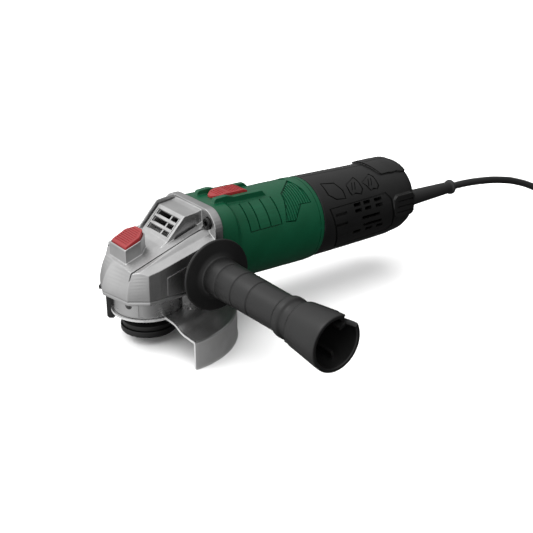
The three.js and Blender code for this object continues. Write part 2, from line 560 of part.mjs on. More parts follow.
// ---------------------------------------------------------------- rear handle
const TAIL_START = BODY_END + GAP;
const tailScrews = [[BODY_END + 25.3, 10 - BODY_R], [TAIL_END - 43.7, 12 - BODY_R],
  [TAIL_END - 13.7, BODY_R - 14]].map(([x, z]) => [x, AXIS_Z + z]);
const HEAD_Y = BODY_R - 13.6;               // outer face of their heads
function tailSkin(inset) {
  const r = BODY_R - 0.4 - inset;
  const step = 2.4;
  const x1 = TAIL_END - inset;
  return loft([
    bodyRing(TAIL_START - (inset ? 1 : 0), r, r, r), bodyRing(TAIL_END - 50.1, r, r, r),
    bodyRing(TAIL_END - 49.1, r, r + step, r), bodyRing(TAIL_END - 25.7, r, r + step, r),
    bodyRing(TAIL_END - 7.7 - inset / 2, r - 1, r + step - 1, r - 6, 2.1),
    bodyRing(x1 - 2, r - 3.4, r + step - 3.4, r - 8.6, 2.2), bodyRing(x1, r - 6, r + step - 6, r - 11, 2.2),
  ]);
}
function tailVents(side) {
  const columns = [31.3, 42.3, 53.3].map((dx) => BODY_END + dx);
  const cells = [15.5, 11].flatMap((dz) => columns.map((x) => [x, x + 7.5, dz - 1.3, dz + 1.3]));
  for (const dz of [4.5, -0.5]) cells.push([columns[0] + 8, columns[2] + 10, dz - 1.1, dz + 1.1]);
  columns.forEach((x, i) => cells.push([x, x + 8, 1.5 * i - 9.3, 1.5 * i - 6.7]));
  const depth = [BODY_R - 12, BODY_R + 6].map((y) => y * side).sort((a, b) => a - b);
  return cells.map(([x0, x1, z0, z1]) => box([x0, x1], depth, [AXIS_Z + z0, AXIS_Z + z1]));
}
function rearShell(side) {
  const reach = side > 0 ? [GAP / 2, 50] : [-50, -GAP / 2];
  const bosses = tailScrews.map(([x, z]) => rod(4.6, -50, 50, "y", 14).translate(x, 0, z));
  const padOutline = [[-33.7, -9.5], [-30.7, -12], [-10.7, -12], [-8.7, -9.5], [-8.7, 8], [-11.7, 11],
    [-30.7, 11], [-33.7, 8]].map(([x, z]) => [TAIL_END + x, AXIS_Z + z]);
  const pad = prism(padOutline, "y", side > 0 ? 20 : -BODY_R - 0.6, side > 0 ? BODY_R + 0.6 : -20);
  const skin = tailSkin(0);
  const hollow = cut(join(skin, pad), tailSkin(2.4));
  const body = join(hollow, common(join(...bosses), skin));
  const half = common(body, box([TAIL_START - 5, TAIL_END + 5], reach, [20, 115]));
  const holes = tailScrews.flatMap(([x, z]) => [
    rod(1.9, 1.4 - HEAD_Y, 50, "y", 14).translate(x, 0, z),
    rod(3.9, HEAD_Y - 2.8, 50, "y", 10).translate(x, 0, z)]);
  return cut(
    half,
    rod(SPIGOT_R + GAP, TAIL_START - 2, BODY_END + 6, "x", 36).translate(0, 0, AXIS_Z),
    rod(6.3, TAIL_END - 10, TAIL_END + 5, "x", 24).translate(0, 0, LEAD_Z),
    rod(9.3, TAIL_END - 7.4, TAIL_END - 2.8, "x", 24).translate(0, 0, LEAD_Z),
    ...holes, ...tailVents(side),
  );
}
add("rear_shell_left", rearShell(1), "black");
add("rear_shell_right", rearShell(-1), "black");
tailScrews.forEach(([x, z], i) => {
  const s = screw(3.5, 1.6, HEAD_Y, HEAD_Y - 2.4, 2.4 - HEAD_Y, "y");
  add(`tail_screw_${i + 1}`, s.translate(x, 0, z), "steel");
});

add("switch_module", join(box([ROD_END + 2, ROD_END + 28], [-8, 8], [ROD_Z - 23.8, ROD_Z - 6.8]),
  box([ROD_END + 4, ROD_END + 10], [-2.5, 2.5], [ROD_Z - 7.8, ROD_Z - 3.8])), "black");
add("terminal_block", box([TAIL_END - 45.7, TAIL_END - 27.7], [3, 17], [AXIS_Z - 4, AXIS_Z + 6]), "felt");

// ---------------------------------------------------------------- lead
const RELIEF_END = TAIL_END + RELIEF_L;
const sleeve = LEAD_D / 2 + 0.6;
const clampX = TAIL_END - 17.7;
const relief = [[0, clampX - 2], [sleeve, clampX - 2], [sleeve, TAIL_END - 7.1], [9, TAIL_END - 7.1],
  [9, TAIL_END - 3.1], [6, TAIL_END - 3.1], [6, TAIL_END + GAP], [7.75, TAIL_END + GAP], [7.6, TAIL_END + 8],
  [5.6, RELIEF_END - 6], [5.6, RELIEF_END - 4], [7, RELIEF_END - 3], [7, RELIEF_END - 1], [6, RELIEF_END],
  [0, RELIEF_END]];
add("bend_relief", turned(relief, "x", 24).translate(0, 0, LEAD_Z), "black");
add("cord_clamp", cut(box([clampX, clampX + 8], [-13, 13], [LEAD_Z - 1, LEAD_Z + 9]),
  rod(sleeve + 0.4, clampX - 12, clampX + 14, "x", 14).translate(0, 0, LEAD_Z)), "black");

const COIL = { x: 552, y: -22, mean: 41.2, half: 14.3, top: 14.9 };  // ring of two layers of turns
const meet = COIL.mean + COIL.half + LEAD_D / 2 + 1;   // circle on which the ends leave the ring
const onCoil = (deg, z) => [COIL.x + meet * Math.cos(deg * RAD), COIL.y + meet * Math.sin(deg * RAD), z];
const leadPoints = [[RELIEF_END + GAP, 0, LEAD_Z], [350, 0, 52.6], [376, 0, 50.4], [407, -1, 45.6],
  [431, -3, 39.4], [452, -8, 31], [470, -16, 20.5], [485, -29, 11.2], [497, -45, LEAD_D / 2 + 1.4],
  onCoil(225, LEAD_D / 2 + GAP)];
add("cord", sweep(leadPoints, LEAD_D / 2, 10, 18), "black", true);
const [coilIn, coilOut] = [COIL.mean - COIL.half, COIL.mean + COIL.half];
const coilProfile = [[coilIn, 3.4], [coilIn + 3, GAP], [coilOut - 3, GAP], [coilOut, 3.4],
  [coilOut, COIL.top - 3], [coilOut - 3, COIL.top], [coilIn + 3, COIL.top], [coilIn, COIL.top - 3]];
add("cord_coil", turned(coilProfile, "z", 28).translate(COIL.x, COIL.y, 0), "black", true);
const tieIn = COIL.half + 0.8;
const tieOut = tieIn + 1.4;
const tieTop = COIL.top + 0.4;
const tieOutline = [[-tieOut, GAP], [-tieIn, GAP], [-tieIn, tieTop], [tieIn, tieTop], [tieIn, GAP],
  [tieOut, GAP], [tieOut, tieTop + 1.3], [-tieOut, tieTop + 1.3]];
add("coil_tie", prism(tieOutline, "x", -4, 4).translate(COIL.x, COIL.y + COIL.mean, 0), "black", true);
const PLUG = { x: 606, y: 34, z: 9.6 };
const tailPoints = [onCoil(15, LEAD_D / 2 + GAP), [609, 4, 4.4], [607.4, 16, 6.8], [606.2, 26, 8.9],
  [PLUG.x, PLUG.y - GAP, PLUG.z]];
add("cord_tail", sweep(tailPoints, LEAD_D / 2, 10, 8), "black", true);

function mainsPlug() {
  const outline = [[-6, 0], [6, 0], [9, 14], [17, 26], [18, 44], [-18, 44], [-17, 26], [-9, 14]];
  const body = prism(outline, "z", 0.4, 2 * PLUG.z - 0.4);
  const pins = [-9.5, 9.5].map((x) => rod(2.4, 43, 62, "y", 14).translate(x, 0, PLUG.z));
  return join(body, ...pins).translate(PLUG.x, PLUG.y, 0);
}
add("mains_plug", mainsPlug(), "black", true);

// ---------------------------------------------------------------- side handle
const onHandle = (g) => g.translate(HANDLE_X, 0, HANDLE_Z);
function handleGrip() {
  const e = HANDLE_END;
  const g = GRIP_R;
  const foot = HEAD_HALF + 1.6;
  const profile = [[0, foot], [10, foot], [10, 46], [18, 47.5], [26.6, 48.4], [27.6, 49.6], [27, 51],
    [18, 52.4], [g + 0.8, 54], [g + 0.5, 67], [g - 0.5, 67.8], [g + 0.4, 68.6], [g + 0.1, 85],
    [g - 0.8, 85.8], [g, 86.6], [g - 0.2, 103], [g - 1.1, 103.8], [g - 0.3, 104.6], [g - 0.6, 132],
    [g + 1, 134], [g + 1, 139], [g - 0.6, 141], [g - 0.4, 147], [g + 2.4, 149.4],
    [g + 5.4, e - 4], [g + 5.6, e], [g + 2.8, e], [g + 2.4, e - 4], [g - 0.4, 151], [0, 151]];
  const body = turned(profile, "y", 24);
  const notch = box([-7, 7], [e - 12, e + 2], [g - 4, 40]).rotateY(40 * RAD);
  const bore = rod(STUD_R + GAP, 30, 66, "y", 14);
  const ribs = [70, 160, 250].map((deg) =>
    box([-0.9, 0.9], [150, e - 9], [g - 3.5, g + 3.4]).rotateY(deg * RAD));
  return onHandle(join(cut(body, notch, bore), ...ribs).scale(1, -1, 1));
}
add("handle_grip", handleGrip(), "black");
add("handle_stud", onHandle(turned([[0, 24], [3.4, 24], [STUD_R, 25], [STUD_R, 65], [0, 65]], "y", 14)
  .scale(1, -1, 1)), "steel");

// ---------------------------------------------------------------- place the group
const bounds = new THREE.Box3();
for (const mesh of root.children) {
  if (!leadNames.includes(mesh.name)) bounds.expandByObject(mesh);
}
root.position.set(-(bounds.min.x + bounds.max.x) / 2, -(bounds.min.y + bounds.max.y) / 2, -bounds.min.z);
root.updateMatrixWorld(true);

export default root;
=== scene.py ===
# %% [markdown]
# # A corded angle grinder
# The tool has a cast gear head, a half-round guard, a green motor housing, a black rear handle
# and a cupped side handle.  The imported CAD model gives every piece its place.  It is loaded as a
# fixed frame, so each piece made here needs no fitting.

# %% Load the frame
import json
import math
import bmesh
import bpy
from mathutils import Matrix, Vector


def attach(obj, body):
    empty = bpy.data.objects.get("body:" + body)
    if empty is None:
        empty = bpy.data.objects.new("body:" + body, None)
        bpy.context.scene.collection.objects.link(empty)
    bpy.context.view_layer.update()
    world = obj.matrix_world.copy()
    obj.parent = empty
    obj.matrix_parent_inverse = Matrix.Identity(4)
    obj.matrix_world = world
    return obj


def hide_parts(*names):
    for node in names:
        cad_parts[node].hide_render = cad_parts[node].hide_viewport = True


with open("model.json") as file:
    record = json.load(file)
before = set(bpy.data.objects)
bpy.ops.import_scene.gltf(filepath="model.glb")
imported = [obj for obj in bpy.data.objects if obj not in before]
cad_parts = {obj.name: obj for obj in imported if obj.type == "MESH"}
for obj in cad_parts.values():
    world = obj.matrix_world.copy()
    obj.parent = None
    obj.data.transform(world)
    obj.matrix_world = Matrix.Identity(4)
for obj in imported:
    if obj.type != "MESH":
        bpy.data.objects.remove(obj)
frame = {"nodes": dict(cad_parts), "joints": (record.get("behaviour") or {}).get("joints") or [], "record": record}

for name in ("Cube", "Camera", "Light"):
    leftover = bpy.data.objects.get(name)
    if leftover is not None:
        bpy.data.objects.remove(leftover)
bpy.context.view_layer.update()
scene = bpy.context.scene
scene.view_settings.view_transform = "Standard"
MM = 0.001
joints = {joint["name"]: joint for joint in frame["joints"]}
spindle_x, spindle_y = joints["spindle_spin"]["pos_m"][:2]
motor_z = joints["armature_spin"]["pos_m"][2] / MM
TO_FRAME = Matrix.Translation((spindle_x, spindle_y, 0.0)) @ Matrix.Scale(MM, 4)
print("nodes", len(frame["nodes"]), "motor axis", round(motor_z, 2), "mm up")

# %% [markdown]
# ## Camera
# A long lens from in front of the guard, a little above.  The lens is long enough to keep the
# handle's cup from looking swollen.  Depth of field stays off.

# %% Camera
back = Vector((-0.55304, -0.73153, 0.39875))
lens = bpy.data.cameras.new("camera")
lens.lens = 60.82
lens.sensor_width = 36.0
lens.clip_start = 0.01
camera = bpy.data.objects.new("camera", lens)
camera.location = (-0.44957, -0.49037, 0.32593)
camera.rotation_euler = back.to_track_quat("Z", "Y").to_euler()
scene.collection.objects.link(camera)
scene.camera = camera
print("camera", [round(value, 3) for value in camera.location])

# %% [markdown]
# ## The lead's route
# A mains lead is a fixed length of springy rubber.  It leaves the bend relief level, droops to the
# floor and is wound away in two layers of turns.  One smooth curve carries all of it, so its
# length can be measured.  The route is worked out by a loop, in millimetres from the spindle.
# Each upper turn lies one lead and a hair above the turn below it.

# %% Route of the lead
LEAD_R = 3.5
coil_x, coil_y = 552.0, -22.0
FLOOR_RUN = LEAD_R + 0.3
LAYER_STEP = 7.1
UPPER_RUN = FLOOR_RUN + LAYER_STEP
COIL_OUTER = 52
COIL_INNER = 30.4


def on_coil(degrees, radius, height):
    turn = math.radians(degrees)
    return (coil_x + radius * math.cos(turn), coil_y + radius * math.sin(turn), height)


def coil_run(start, sweep, step, radius_at, height_at):
    """Points after the start, evenly spaced in angle; radius and height take the share done."""
    count = round(sweep / step)
    shares = [(index + 1) / count for index in range(count)]
    return [on_coil(start + sweep * s, radius_at(s), height_at(s)) for s in shares]


route = [(334.3, 0, 53), (350, 0, 52.6), (376, 0, 50.4), (407, -1, 45.6), (431, -3, 39.4),
         (452, -8, 31), (470, -16, 20.5), (485, -29, 11.2), (497, -45, 4.9)]
route.append(on_coil(225, 60, FLOOR_RUN))
route += coil_run(225, 90, 15, lambda s: 60 - 8 * s, lambda s: FLOOR_RUN)
route += coil_run(315, 1080, 15, lambda s: COIL_OUTER - 21.6 * s, lambda s: FLOOR_RUN)
route += coil_run(1395, 120, 15, lambda s: COIL_INNER, lambda s: FLOOR_RUN + LAYER_STEP * s)
route += coil_run(1515, 960, 15, lambda s: COIL_INNER + 21.6 * s, lambda s: UPPER_RUN)
route += coil_run(2475, 60, 15, lambda s: COIL_OUTER + 8 * math.sin(math.pi * s / 2),
                  lambda s: FLOOR_RUN + LAYER_STEP * math.cos(math.pi * s / 2))
route += [(609, 4, 4.4), (607.4, 16, 6.8), (606.2, 26, 8.9), (606, 33.7, 9.6)]
length = sum(math.dist(a, b) for a, b in zip(route, route[1:])) * MM
print("route points", len(route), "about", round(length, 3), "m")

# %% [markdown]
# ## The lead as a curve
# A round lead could be a swept mesh or a curve with a bevel.  A curve is kept, because its one
# spline carries the whole route.

# %% The lead as a curve
curve = bpy.data.curves.new("lead", "CURVE")
curve.dimensions = "3D"
curve.bevel_depth = LEAD_R * MM
curve.bevel_resolution = 5
curve.resolution_u = 6
curve.use_fill_caps = True
spline = curve.splines.new("BEZIER")
spline.bezier_points.add(len(route) - 1)
for point, place in zip(spline.bezier_points, route):
    point.co = TO_FRAME @ Vector(place)
    point.handle_left_type = "AUTO"
    point.handle_right_type = "AUTO"
lead = bpy.data.objects.new("lead", curve)
scene.collection.objects.link(lead)
print("lead", 2 * LEAD_R, "mm thick through", len(spline.bezier_points), "points")

# %% [markdown]
# ## Solids by hand
# Every piece starts as a closed solid in millimetres, measured from the spindle.  A few helpers
# make the shapes that a machinist would: a prism from an outline, a turned profile, a skin through
# rings.  Booleans then join and cut them, as milling and drilling would.


# %% Closed solids from rings
def solid(vertices, faces):
    mesh = bpy.data.meshes.new("work")
    mesh.from_pydata([tuple(v) for v in vertices], [], faces)
    work = bmesh.new()
    work.from_mesh(mesh)
    bmesh.ops.remove_doubles(work, verts=work.verts, dist=1e-5)
    bmesh.ops.recalc_face_normals(work, faces=work.faces)
    work.to_mesh(mesh)
    work.free()
    piece = bpy.data.objects.new("work", mesh)
    scene.collection.objects.link(piece)
    return piece


def loft(rings, hollow=False):
    """Skin through rings with equal counts; a hollow one joins its last ring to its first."""
    count = len(rings[0])
    faces = []
    for ring in range(len(rings) if hollow else len(rings) - 1):
        here = ring * count
        there = (ring + 1) % len(rings) * count
        for i in range(count):
            j = (i + 1) % count
            faces.append((here + i, here + j, there + j, there + i))
    if not hollow:
        faces.append(tuple(range(count)))
        faces.append(tuple(range((len(rings) - 1) * count, len(rings) * count)))
    return solid([v for ring in rings for v in ring], faces)


# %% Prisms, blocks and turned shapes
AXES = {
    "x": lambda a, b, along: (along, a, b),
    "y": lambda a, b, along: (a, along, b),
    "z": lambda a, b, along: (a, b, along),
}


def prism(outline, axis, low, high):
    """Outline pushed along an axis: "x" takes (y, z), "y" takes (x, z), "z" takes (x, y)."""
    place = AXES[axis]
    return loft([[place(a, b, along) for a, b in outline] for along in (low, high)])


def block(x, y, z):
    return prism([(x[0], y[0]), (x[1], y[0]), (x[1], y[1]), (x[0], y[1])], "z", *z)


def turned(profile, axis="z", steps=96, centre=(0, 0, 0)):
    """Profile of (radius, height) points spun round an axis through the centre."""
    rings = []
    for radius, height in profile:
        turns = [2 * math.pi * i / steps for i in range(steps)]
        rings.append([AXES[axis](radius * math.cos(t), radius * math.sin(t), height) for t in turns])
    on_axis = profile[0][0] < 1e-6 and profile[-1][0] < 1e-6
    if on_axis:
        rings = rings[1:-1]
    piece = loft(rings, hollow=not on_axis)
    piece.data.transform(Matrix.Translation(centre))
    return piece


def rod(radius, low, high, axis="z", centre=(0, 0, 0), steps=48):
    return turned([(0, low), (radius, low), (radius, high), (0, high)], axis, steps, centre)


def tube(inner, outer, low, high, axis="z", centre=(0, 0, 0), steps=96):
    ring = [(inner, low), (outer, low), (outer, high), (inner, high)]
    return turned(ring, axis, steps, centre)


print("shapes can lie along", sorted(AXES))


# %% Turning, moving and rounding
def spun(piece, degrees, axis="Z", centre=(0, 0, 0)):
    """Piece turned about an axis through the centre."""
    there = Matrix.Translation(centre)
    turn = Matrix.Rotation(math.radians(degrees), 4, axis)
    piece.data.transform(there @ turn @ there.inverted())
    return piece


def moved(piece, x=0, y=0, z=0):
    piece.data.transform(Matrix.Translation((x, y, z)))
    return piece


def rounded(outline, radius, steps=4, keep=()):
    """Outline with its corners rounded, except those whose number is in keep.

    The radius is one number, or a list with one for each corner.
    """
    result = []
    count = len(outline)
    radii = radius if isinstance(radius, list) else [radius] * count
    for i, corner in enumerate(outline):
        here = Vector(corner)
        before = Vector(outline[i - 1]) - here
        after = Vector(outline[(i + 1) % count]) - here
        reach = min(radii[i], before.length * 0.45, after.length * 0.45)
        if i in keep or reach < 1e-4:
            result.append(tuple(here))
            continue
        start = here + before.normalized() * reach
        end = here + after.normalized() * reach
        for step in range(steps + 1):
            share = step / steps
            a = start.lerp(here, share)
            b = here.lerp(end, share)
            result.append(tuple(a.lerp(b, share)))
    return result


def sector(inner, outer, first, last, centre=0.0, steps=24):
    """Outline of a piece of a flat ring, between two angles in degrees."""
    turns = [math.radians(first + (last - first) * i / steps) for i in range(steps + 1)]
    far = [(outer * math.cos(t), centre + outer * math.sin(t)) for t in turns]
    near = [(inner * math.cos(t), centre + inner * math.sin(t)) for t in reversed(turns)]
    return far + near


# %% [markdown]
# ## Joining, cutting and softening
# A boolean modifier joins or cuts one solid with another.  Fine remeshing with a little smoothing
# gives a casting its rounded look, and a bevel breaks the edges of the machined pieces.

# %% Joining and cutting
CRISP_ANGLE = math.radians(38)
print("sharp above", round(math.degrees(CRISP_ANGLE)), "degrees")


def baked(piece):
    """The piece with its modifiers turned into plain mesh."""
    graph = bpy.context.evaluated_depsgraph_get()
    graph.update()
    mesh = bpy.data.meshes.new_from_object(piece.evaluated_get(graph))
    piece.modifiers.clear()
    piece.data = mesh
    return piece


def combine(base, how, *tools):
    for tool in tools:
        step = base.modifiers.new("step", "BOOLEAN")
        step.operation = how
        step.solver = "MANIFOLD"
        step.object = tool
    baked(base)
    for tool in tools:
        bpy.data.objects.remove(tool)
    return base


def join(base, *tools):
    return combine(base, "UNION", *tools)


def cut(base, *tools):
    return combine(base, "DIFFERENCE", *tools)


def common(base, tool):
    return combine(base, "INTERSECT", tool)


# %% Softening and bevelling
def soften(piece, grain, passes, triangles):
    """Cast or moulded look: a fine even skin, smoothed so that every edge gets a small radius."""
    coarse = 1.0
    skin = piece.modifiers.new("skin", "REMESH")
    skin.mode = "VOXEL"
    skin.voxel_size = grain * coarse
    smooth = piece.modifiers.new("smooth", "SMOOTH")
    smooth.factor = 0.5
    smooth.iterations = passes
    baked(piece)
    count = 2 * len(piece.data.polygons)
    if count > triangles:
        thin = piece.modifiers.new("thin", "DECIMATE")
        thin.ratio = triangles / count
        baked(piece)
    return piece


def bevelled(piece, width, segments=3, angle=30):
    """Sharp edges broken with a small round, as a file or a mould would."""
    edge = piece.modifiers.new("edge", "BEVEL")
    edge.width = width
    edge.segments = segments
    edge.limit_method = "ANGLE"
    edge.angle_limit = math.radians(angle)
    edge.use_clamp_overlap = True
    return baked(piece)


# %% [markdown]
# ## Finishes
# Each finish is a small network of nodes.  Writing the network as arithmetic keeps it readable:
# the class below wraps one socket, so `1 - mask` adds a Math node by itself.  Every other node
# comes from one method.


# %% Node arithmetic
class Wire:
    """One value in a material."""

    def __init__(self, finish, socket):
        self.finish = finish
        self.socket = socket

    def maths(self, operation, first, second):
        return self.finish.node("Math", {"operation": operation}, [first, second])

    def __add__(self, other):
        return self.maths("ADD", self, other)

    def __radd__(self, other):
        return self.maths("ADD", other, self)

    def __sub__(self, other):
        return self.maths("SUBTRACT", self, other)

    def __rsub__(self, other):
        return self.maths("SUBTRACT", other, self)

    def __mul__(self, other):
        return self.maths("MULTIPLY", self, other)

    def __rmul__(self, other):
        return self.maths("MULTIPLY", other, self)

    def between(self, low, high):
        """0 below low, 1 above high, smooth in between."""
        span = {"interpolation_type": "SMOOTHSTEP"}
        return self.finish.node("MapRange", span, {"Value": self, "From Min": low, "From Max": high})


# %% A finish and its nodes
class Finish:
    """A material with its Principled shader, and what its pattern is read from."""

    def __init__(self, name, **fixed):
        self.material = bpy.data.materials.new(name)
        self.material.use_nodes = True
        self.tree = self.material.node_tree
        self.shader = self.tree.nodes["Principled BSDF"]
        for socket, value in fixed.items():
            self.shader.inputs[socket.replace("_", " ")].default_value = value
        self.place = self.node("TexCoord", output="Object")

    def node(self, kind, settings=None, inputs=(), output=0):
        made = self.tree.nodes.new("ShaderNode" + kind)
        for name, value in (settings or {}).items():
            setattr(made, name, value)
        pairs = inputs.items() if isinstance(inputs, dict) else enumerate(inputs)
        for name, value in pairs:
            if isinstance(value, Wire):
                self.tree.links.new(value.socket, made.inputs[name])
            else:
                made.inputs[name].default_value = value
        return Wire(self, made.outputs[output])

    def noise(self, size_mm, detail=3.0, stretch=(1, 1, 1)):
        """Cloudy pattern whose lumps are about this many millimetres across."""
        place = self.node("Mapping", {}, {"Vector": self.place, "Scale": stretch})
        values = {"Vector": place, "Scale": 1000.0 / size_mm, "Detail": detail}
        return self.node("TexNoise", {}, values)

    def blend(self, share, first, second):
        """Mix of two colours."""
        return self.node("Mix", {"data_type": "RGBA"}, {0: share, 6: first, 7: second}, 2)

    def feed(self, socket, value):
        self.tree.links.new(value.socket, self.shader.inputs[socket])

    def bump(self, height, depth_mm):
        values = {"Height": height, "Distance": depth_mm * MM, "Strength": 1.0}
        return self.node("Bump", {}, values)

    def edge_highlight_mask(self):
        """Near 1 on raised edges, from the shape itself; the finishes paint these edges lighter as a painted
        highlight.
        """
        return self.node("NewGeometry", output="Pointiness")


def grey(value, tint=(1.0, 1.0, 1.0)):
    return (value * tint[0], value * tint[1], value * tint[2], 1.0)


# %% [markdown]
# ## Metals
# The gear head is die-cast aluminium, blasted to a satin grain.  The guard is pressed steel sheet
# with fine drawing marks; the flange and the nut are blackened.  One function makes them all: a
# base tone, a slow change of tone, a fine grain, and raised edges painted a little brighter as a
# highlight.  The guard's outer skirt takes a lighter, duller copy of the same steel with long grain,
# which paints in the lighter tone that the light gives it, and its cut edge is painted bright grey
# as a highlight.


# %% Metal finishes
def metal(name, tone, edge_highlight_tone, rough, grain_mm, grain_depth, stretch=(1, 1, 1), metallic=0.9):
    finish = Finish(name, Metallic=metallic, Roughness=rough)
    slow = finish.noise(14.0, 2.0).between(0.3, 0.7)
    grain = finish.noise(grain_mm, 3.0, stretch)
    # Raised edges are painted a lighter tone here: a painted highlight where light would catch them.
    edge = finish.edge_highlight_mask().between(0.52, 0.60)
    plain = finish.blend(slow, tone, tuple(c * 1.12 for c in tone[:3]) + (1.0,))
    finish.feed("Base Color", finish.blend(edge * (0.4 + 0.5 * grain), plain, edge_highlight_tone))
    finish.feed("Roughness", rough - 0.08 + 0.16 * grain - 0.05 * edge)
    finish.feed("Normal", finish.bump(grain, grain_depth))
    return finish.material


# The second tone of each metal is its painted edge highlight.
cast = metal("cast_aluminium", grey(0.47), grey(0.85), 0.38, 1.1, 0.07, metallic=1.0)
sheet = metal("pressed_steel", grey(0.46), grey(0.60), 0.33, 1.4, 0.001, (1, 1, 4), metallic=0.9)
# A lighter, more diffuse copy of the guard's steel for its outer skirt: it paints in the lighter tone that the
# light gives the skirt.
skirt_lit_copy_steel = metal("skirt_lit_copy", grey(0.52), grey(0.66), 0.45, 1.2, 0.004, (1, 1, 6),
                    metallic=0.15)
band = metal("collar_steel", grey(0.46), grey(0.50), 0.33, 9.0, 0.0, metallic=0.95)
black_steel = metal("blackened_steel", grey(0.035), grey(0.16), 0.36, 0.6, 0.012, metallic=0.8)
# A bright grey for the guard's cut faces: a painted highlight along its edges.
edge_highlight_steel = metal("painted_edge_highlight", grey(0.80), grey(0.95), 0.45, 0.4, 0.01, metallic=0.3)
bright_steel = metal("bright_steel", grey(0.55), grey(0.75), 0.28, 0.5, 0.006, (6, 1, 1), 1.0)
brass = metal("brass", grey(0.6, (1.0, 0.76, 0.38)), grey(0.7, (1, 0.85, 0.5)), 0.35, 0.8, 0.01)
copper = metal("enamelled_copper", grey(0.5, (1.0, 0.42, 0.2)), grey(0.6, (1, 0.6, 0.35)),
               0.38, 0.7, 0.08, (1, 6, 1))
iron = metal("core_plates", grey(0.14), grey(0.3), 0.55, 0.6, 0.08, (9, 1, 1))
print("metals", cast.name, sheet.name, black_steel.name, bright_steel.name)

# %% [markdown]
# ## Plastics, rubber and felt
# Moulded glass-filled nylon has a fine spark-eroded grain, so its gloss is broken up.  Raised edges
# are a little smoother, and their colour is painted lighter as a highlight.  The lead's rubber is
# softer and duller.


# %% Moulded finishes
def moulded(name, tone, mottle_and_edge_highlight_tone, rough, grain_mm=0.5, grain_depth=0.03, **fixed):
    finish = Finish(name, Roughness=rough, **fixed)
    grain = finish.noise(grain_mm, 2.0)
    slow = finish.noise(18.0, 2.0).between(0.3, 0.7)
    # Raised edges get a lighter colour, a painted highlight, and a little less roughness.
    edge = finish.edge_highlight_mask().between(0.52, 0.62)
    share = 0.25 * slow + 0.2 * grain + 0.45 * edge
    finish.feed("Base Color", finish.blend(share, tone, mottle_and_edge_highlight_tone))
    finish.feed("Roughness", rough - 0.07 + 0.14 * grain - 0.08 * edge)
    finish.feed("Normal", finish.bump(grain, grain_depth))
    return finish.material


# The second colour of each moulding shows in random mottling and grain, and on raised edges as a painted
# highlight.
green = moulded("green_nylon", (0.001, 0.090, 0.036, 1), (0.008, 0.150, 0.070, 1), 0.37,
                 Specular_IOR_Level=0.4)
black = moulded("black_nylon", grey(0.006), grey(0.018), 0.40)
red = moulded("red_nylon", (0.38, 0.018, 0.022, 1), (0.56, 0.060, 0.060, 1), 0.38, 0.6, 0.02)
rubber = moulded("lead_rubber", grey(0.014), grey(0.03), 0.5, 0.8, 0.03)
terminal = moulded("terminal_plastic", grey(0.55, (1, 0.98, 0.9)), grey(0.65), 0.5)
felt = moulded("felt", grey(0.25, (1, 0.94, 0.82)), grey(0.35), 0.95, 0.9, 0.2)
carbon = moulded("pressed_carbon", grey(0.035), grey(0.07), 0.7, 0.3, 0.04)
print("mouldings", green.name, black.name, red.name, rubber.name)


# %% [markdown]
# ## Fitting a piece into the frame
# The change from millimetres to the frame's metres is made in the mesh, so the object stays at the
# origin.  The piece then rides on a body and stands for its CAD node.


# %% Fitting a finished piece into the frame
def fit(piece, name, body, slot, material, *nodes):
    """Millimetres to the frame's metres, then the piece rides on its body and takes over."""
    piece.name = name
    piece.data.name = name
    piece.data.transform(TO_FRAME)
    piece.data.materials.clear()
    piece.data.materials.append(material)
    piece.data.shade_smooth()
    piece.data.set_sharp_from_angle(angle=CRISP_ANGLE)
    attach(piece, body)
    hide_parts(*nodes)
    print(name, "faces", len(piece.data.polygons), [round(d / MM, 1) for d in piece.dimensions])
    return piece


# %% [markdown]
# ## Plug, tie and the lead
# The lead ends in a flat plug with two pins, and a strap holds the turns together.  The lead's
# curve takes the rubber finish and rides on the housing, in place of the frame's cord.

# %% Plug, tie and cord
PLUG = Vector((606, 34, 9.6))
plug_side = [(-6, 0), (6, 0), (9, 14), (17, 26), (18, 44), (-18, 44), (-17, 26), (-9, 14)]
plug_body = bevelled(prism(rounded(plug_side, 3), "z", 0.4 - PLUG.z, PLUG.z - 0.4), 2.2, 4)
plug_pins = [turned([(0, 43), (2.4, 43), (2.4, 60.5), (1.6, 62), (0, 62)], "y", 24, (x, 0, 0))
             for x in (-9.5, 9.5)]
grips = [block((-16, 16), (31 + 3 * row, 32.4 + 3 * row), (8.2, 9.6)) for row in range(3)]
plug = moved(cut(join(plug_body, *plug_pins), *grips), *PLUG)
fit(plug, "plug", "housing", "lead", rubber, "mains_plug")
strap = [(-16.5, 0.3), (-15.1, 0.3), (-15.1, 15.3), (15.1, 15.3), (15.1, 0.3), (16.5, 0.3),
         (16.5, 16.6), (-16.5, 16.6)]
tie = moved(bevelled(prism(strap, "x", -4, 4), 0.3, 2), coil_x, coil_y + 41.2, 0)
fit(tie, "coil_strap", "housing", "lead", rubber, "coil_tie")
curve.materials.append(rubber)
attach(lead, "housing")
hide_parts("cord", "cord_coil", "cord_tail")

# %% [markdown]
# ## Gear housing
# The real one is a die casting: a round nose, sloping shoulders, a deck that rises to a louvred
# vent tower, and a square plate bolted to the motor.  It is built as a casting pattern would be,
# from lofted blocks with pockets cut in them, and then remeshed finely and smoothed, which gives
# every edge the small radius that a die leaves.


# %% Gear housing: body
def deck_z(x):
    return 68 + 0.336 * (x + 24)


def shoulder(x):
    """Section across the head at x: side, shoulder, deck edge and crown."""
    side = [(36, 46.2), (36, 66.8 + 0.257 * (x + 14.8)), (30, 70 + 0.249 * (x + 14.8)),
            (25, deck_z(x)), (14, deck_z(x) + 0.8)]
    other = [(-y, z) for y, z in reversed(side)]
    return [(x, y, z) for y, z in side + other]


def both(shape):
    return [shape(-1), shape(1)]


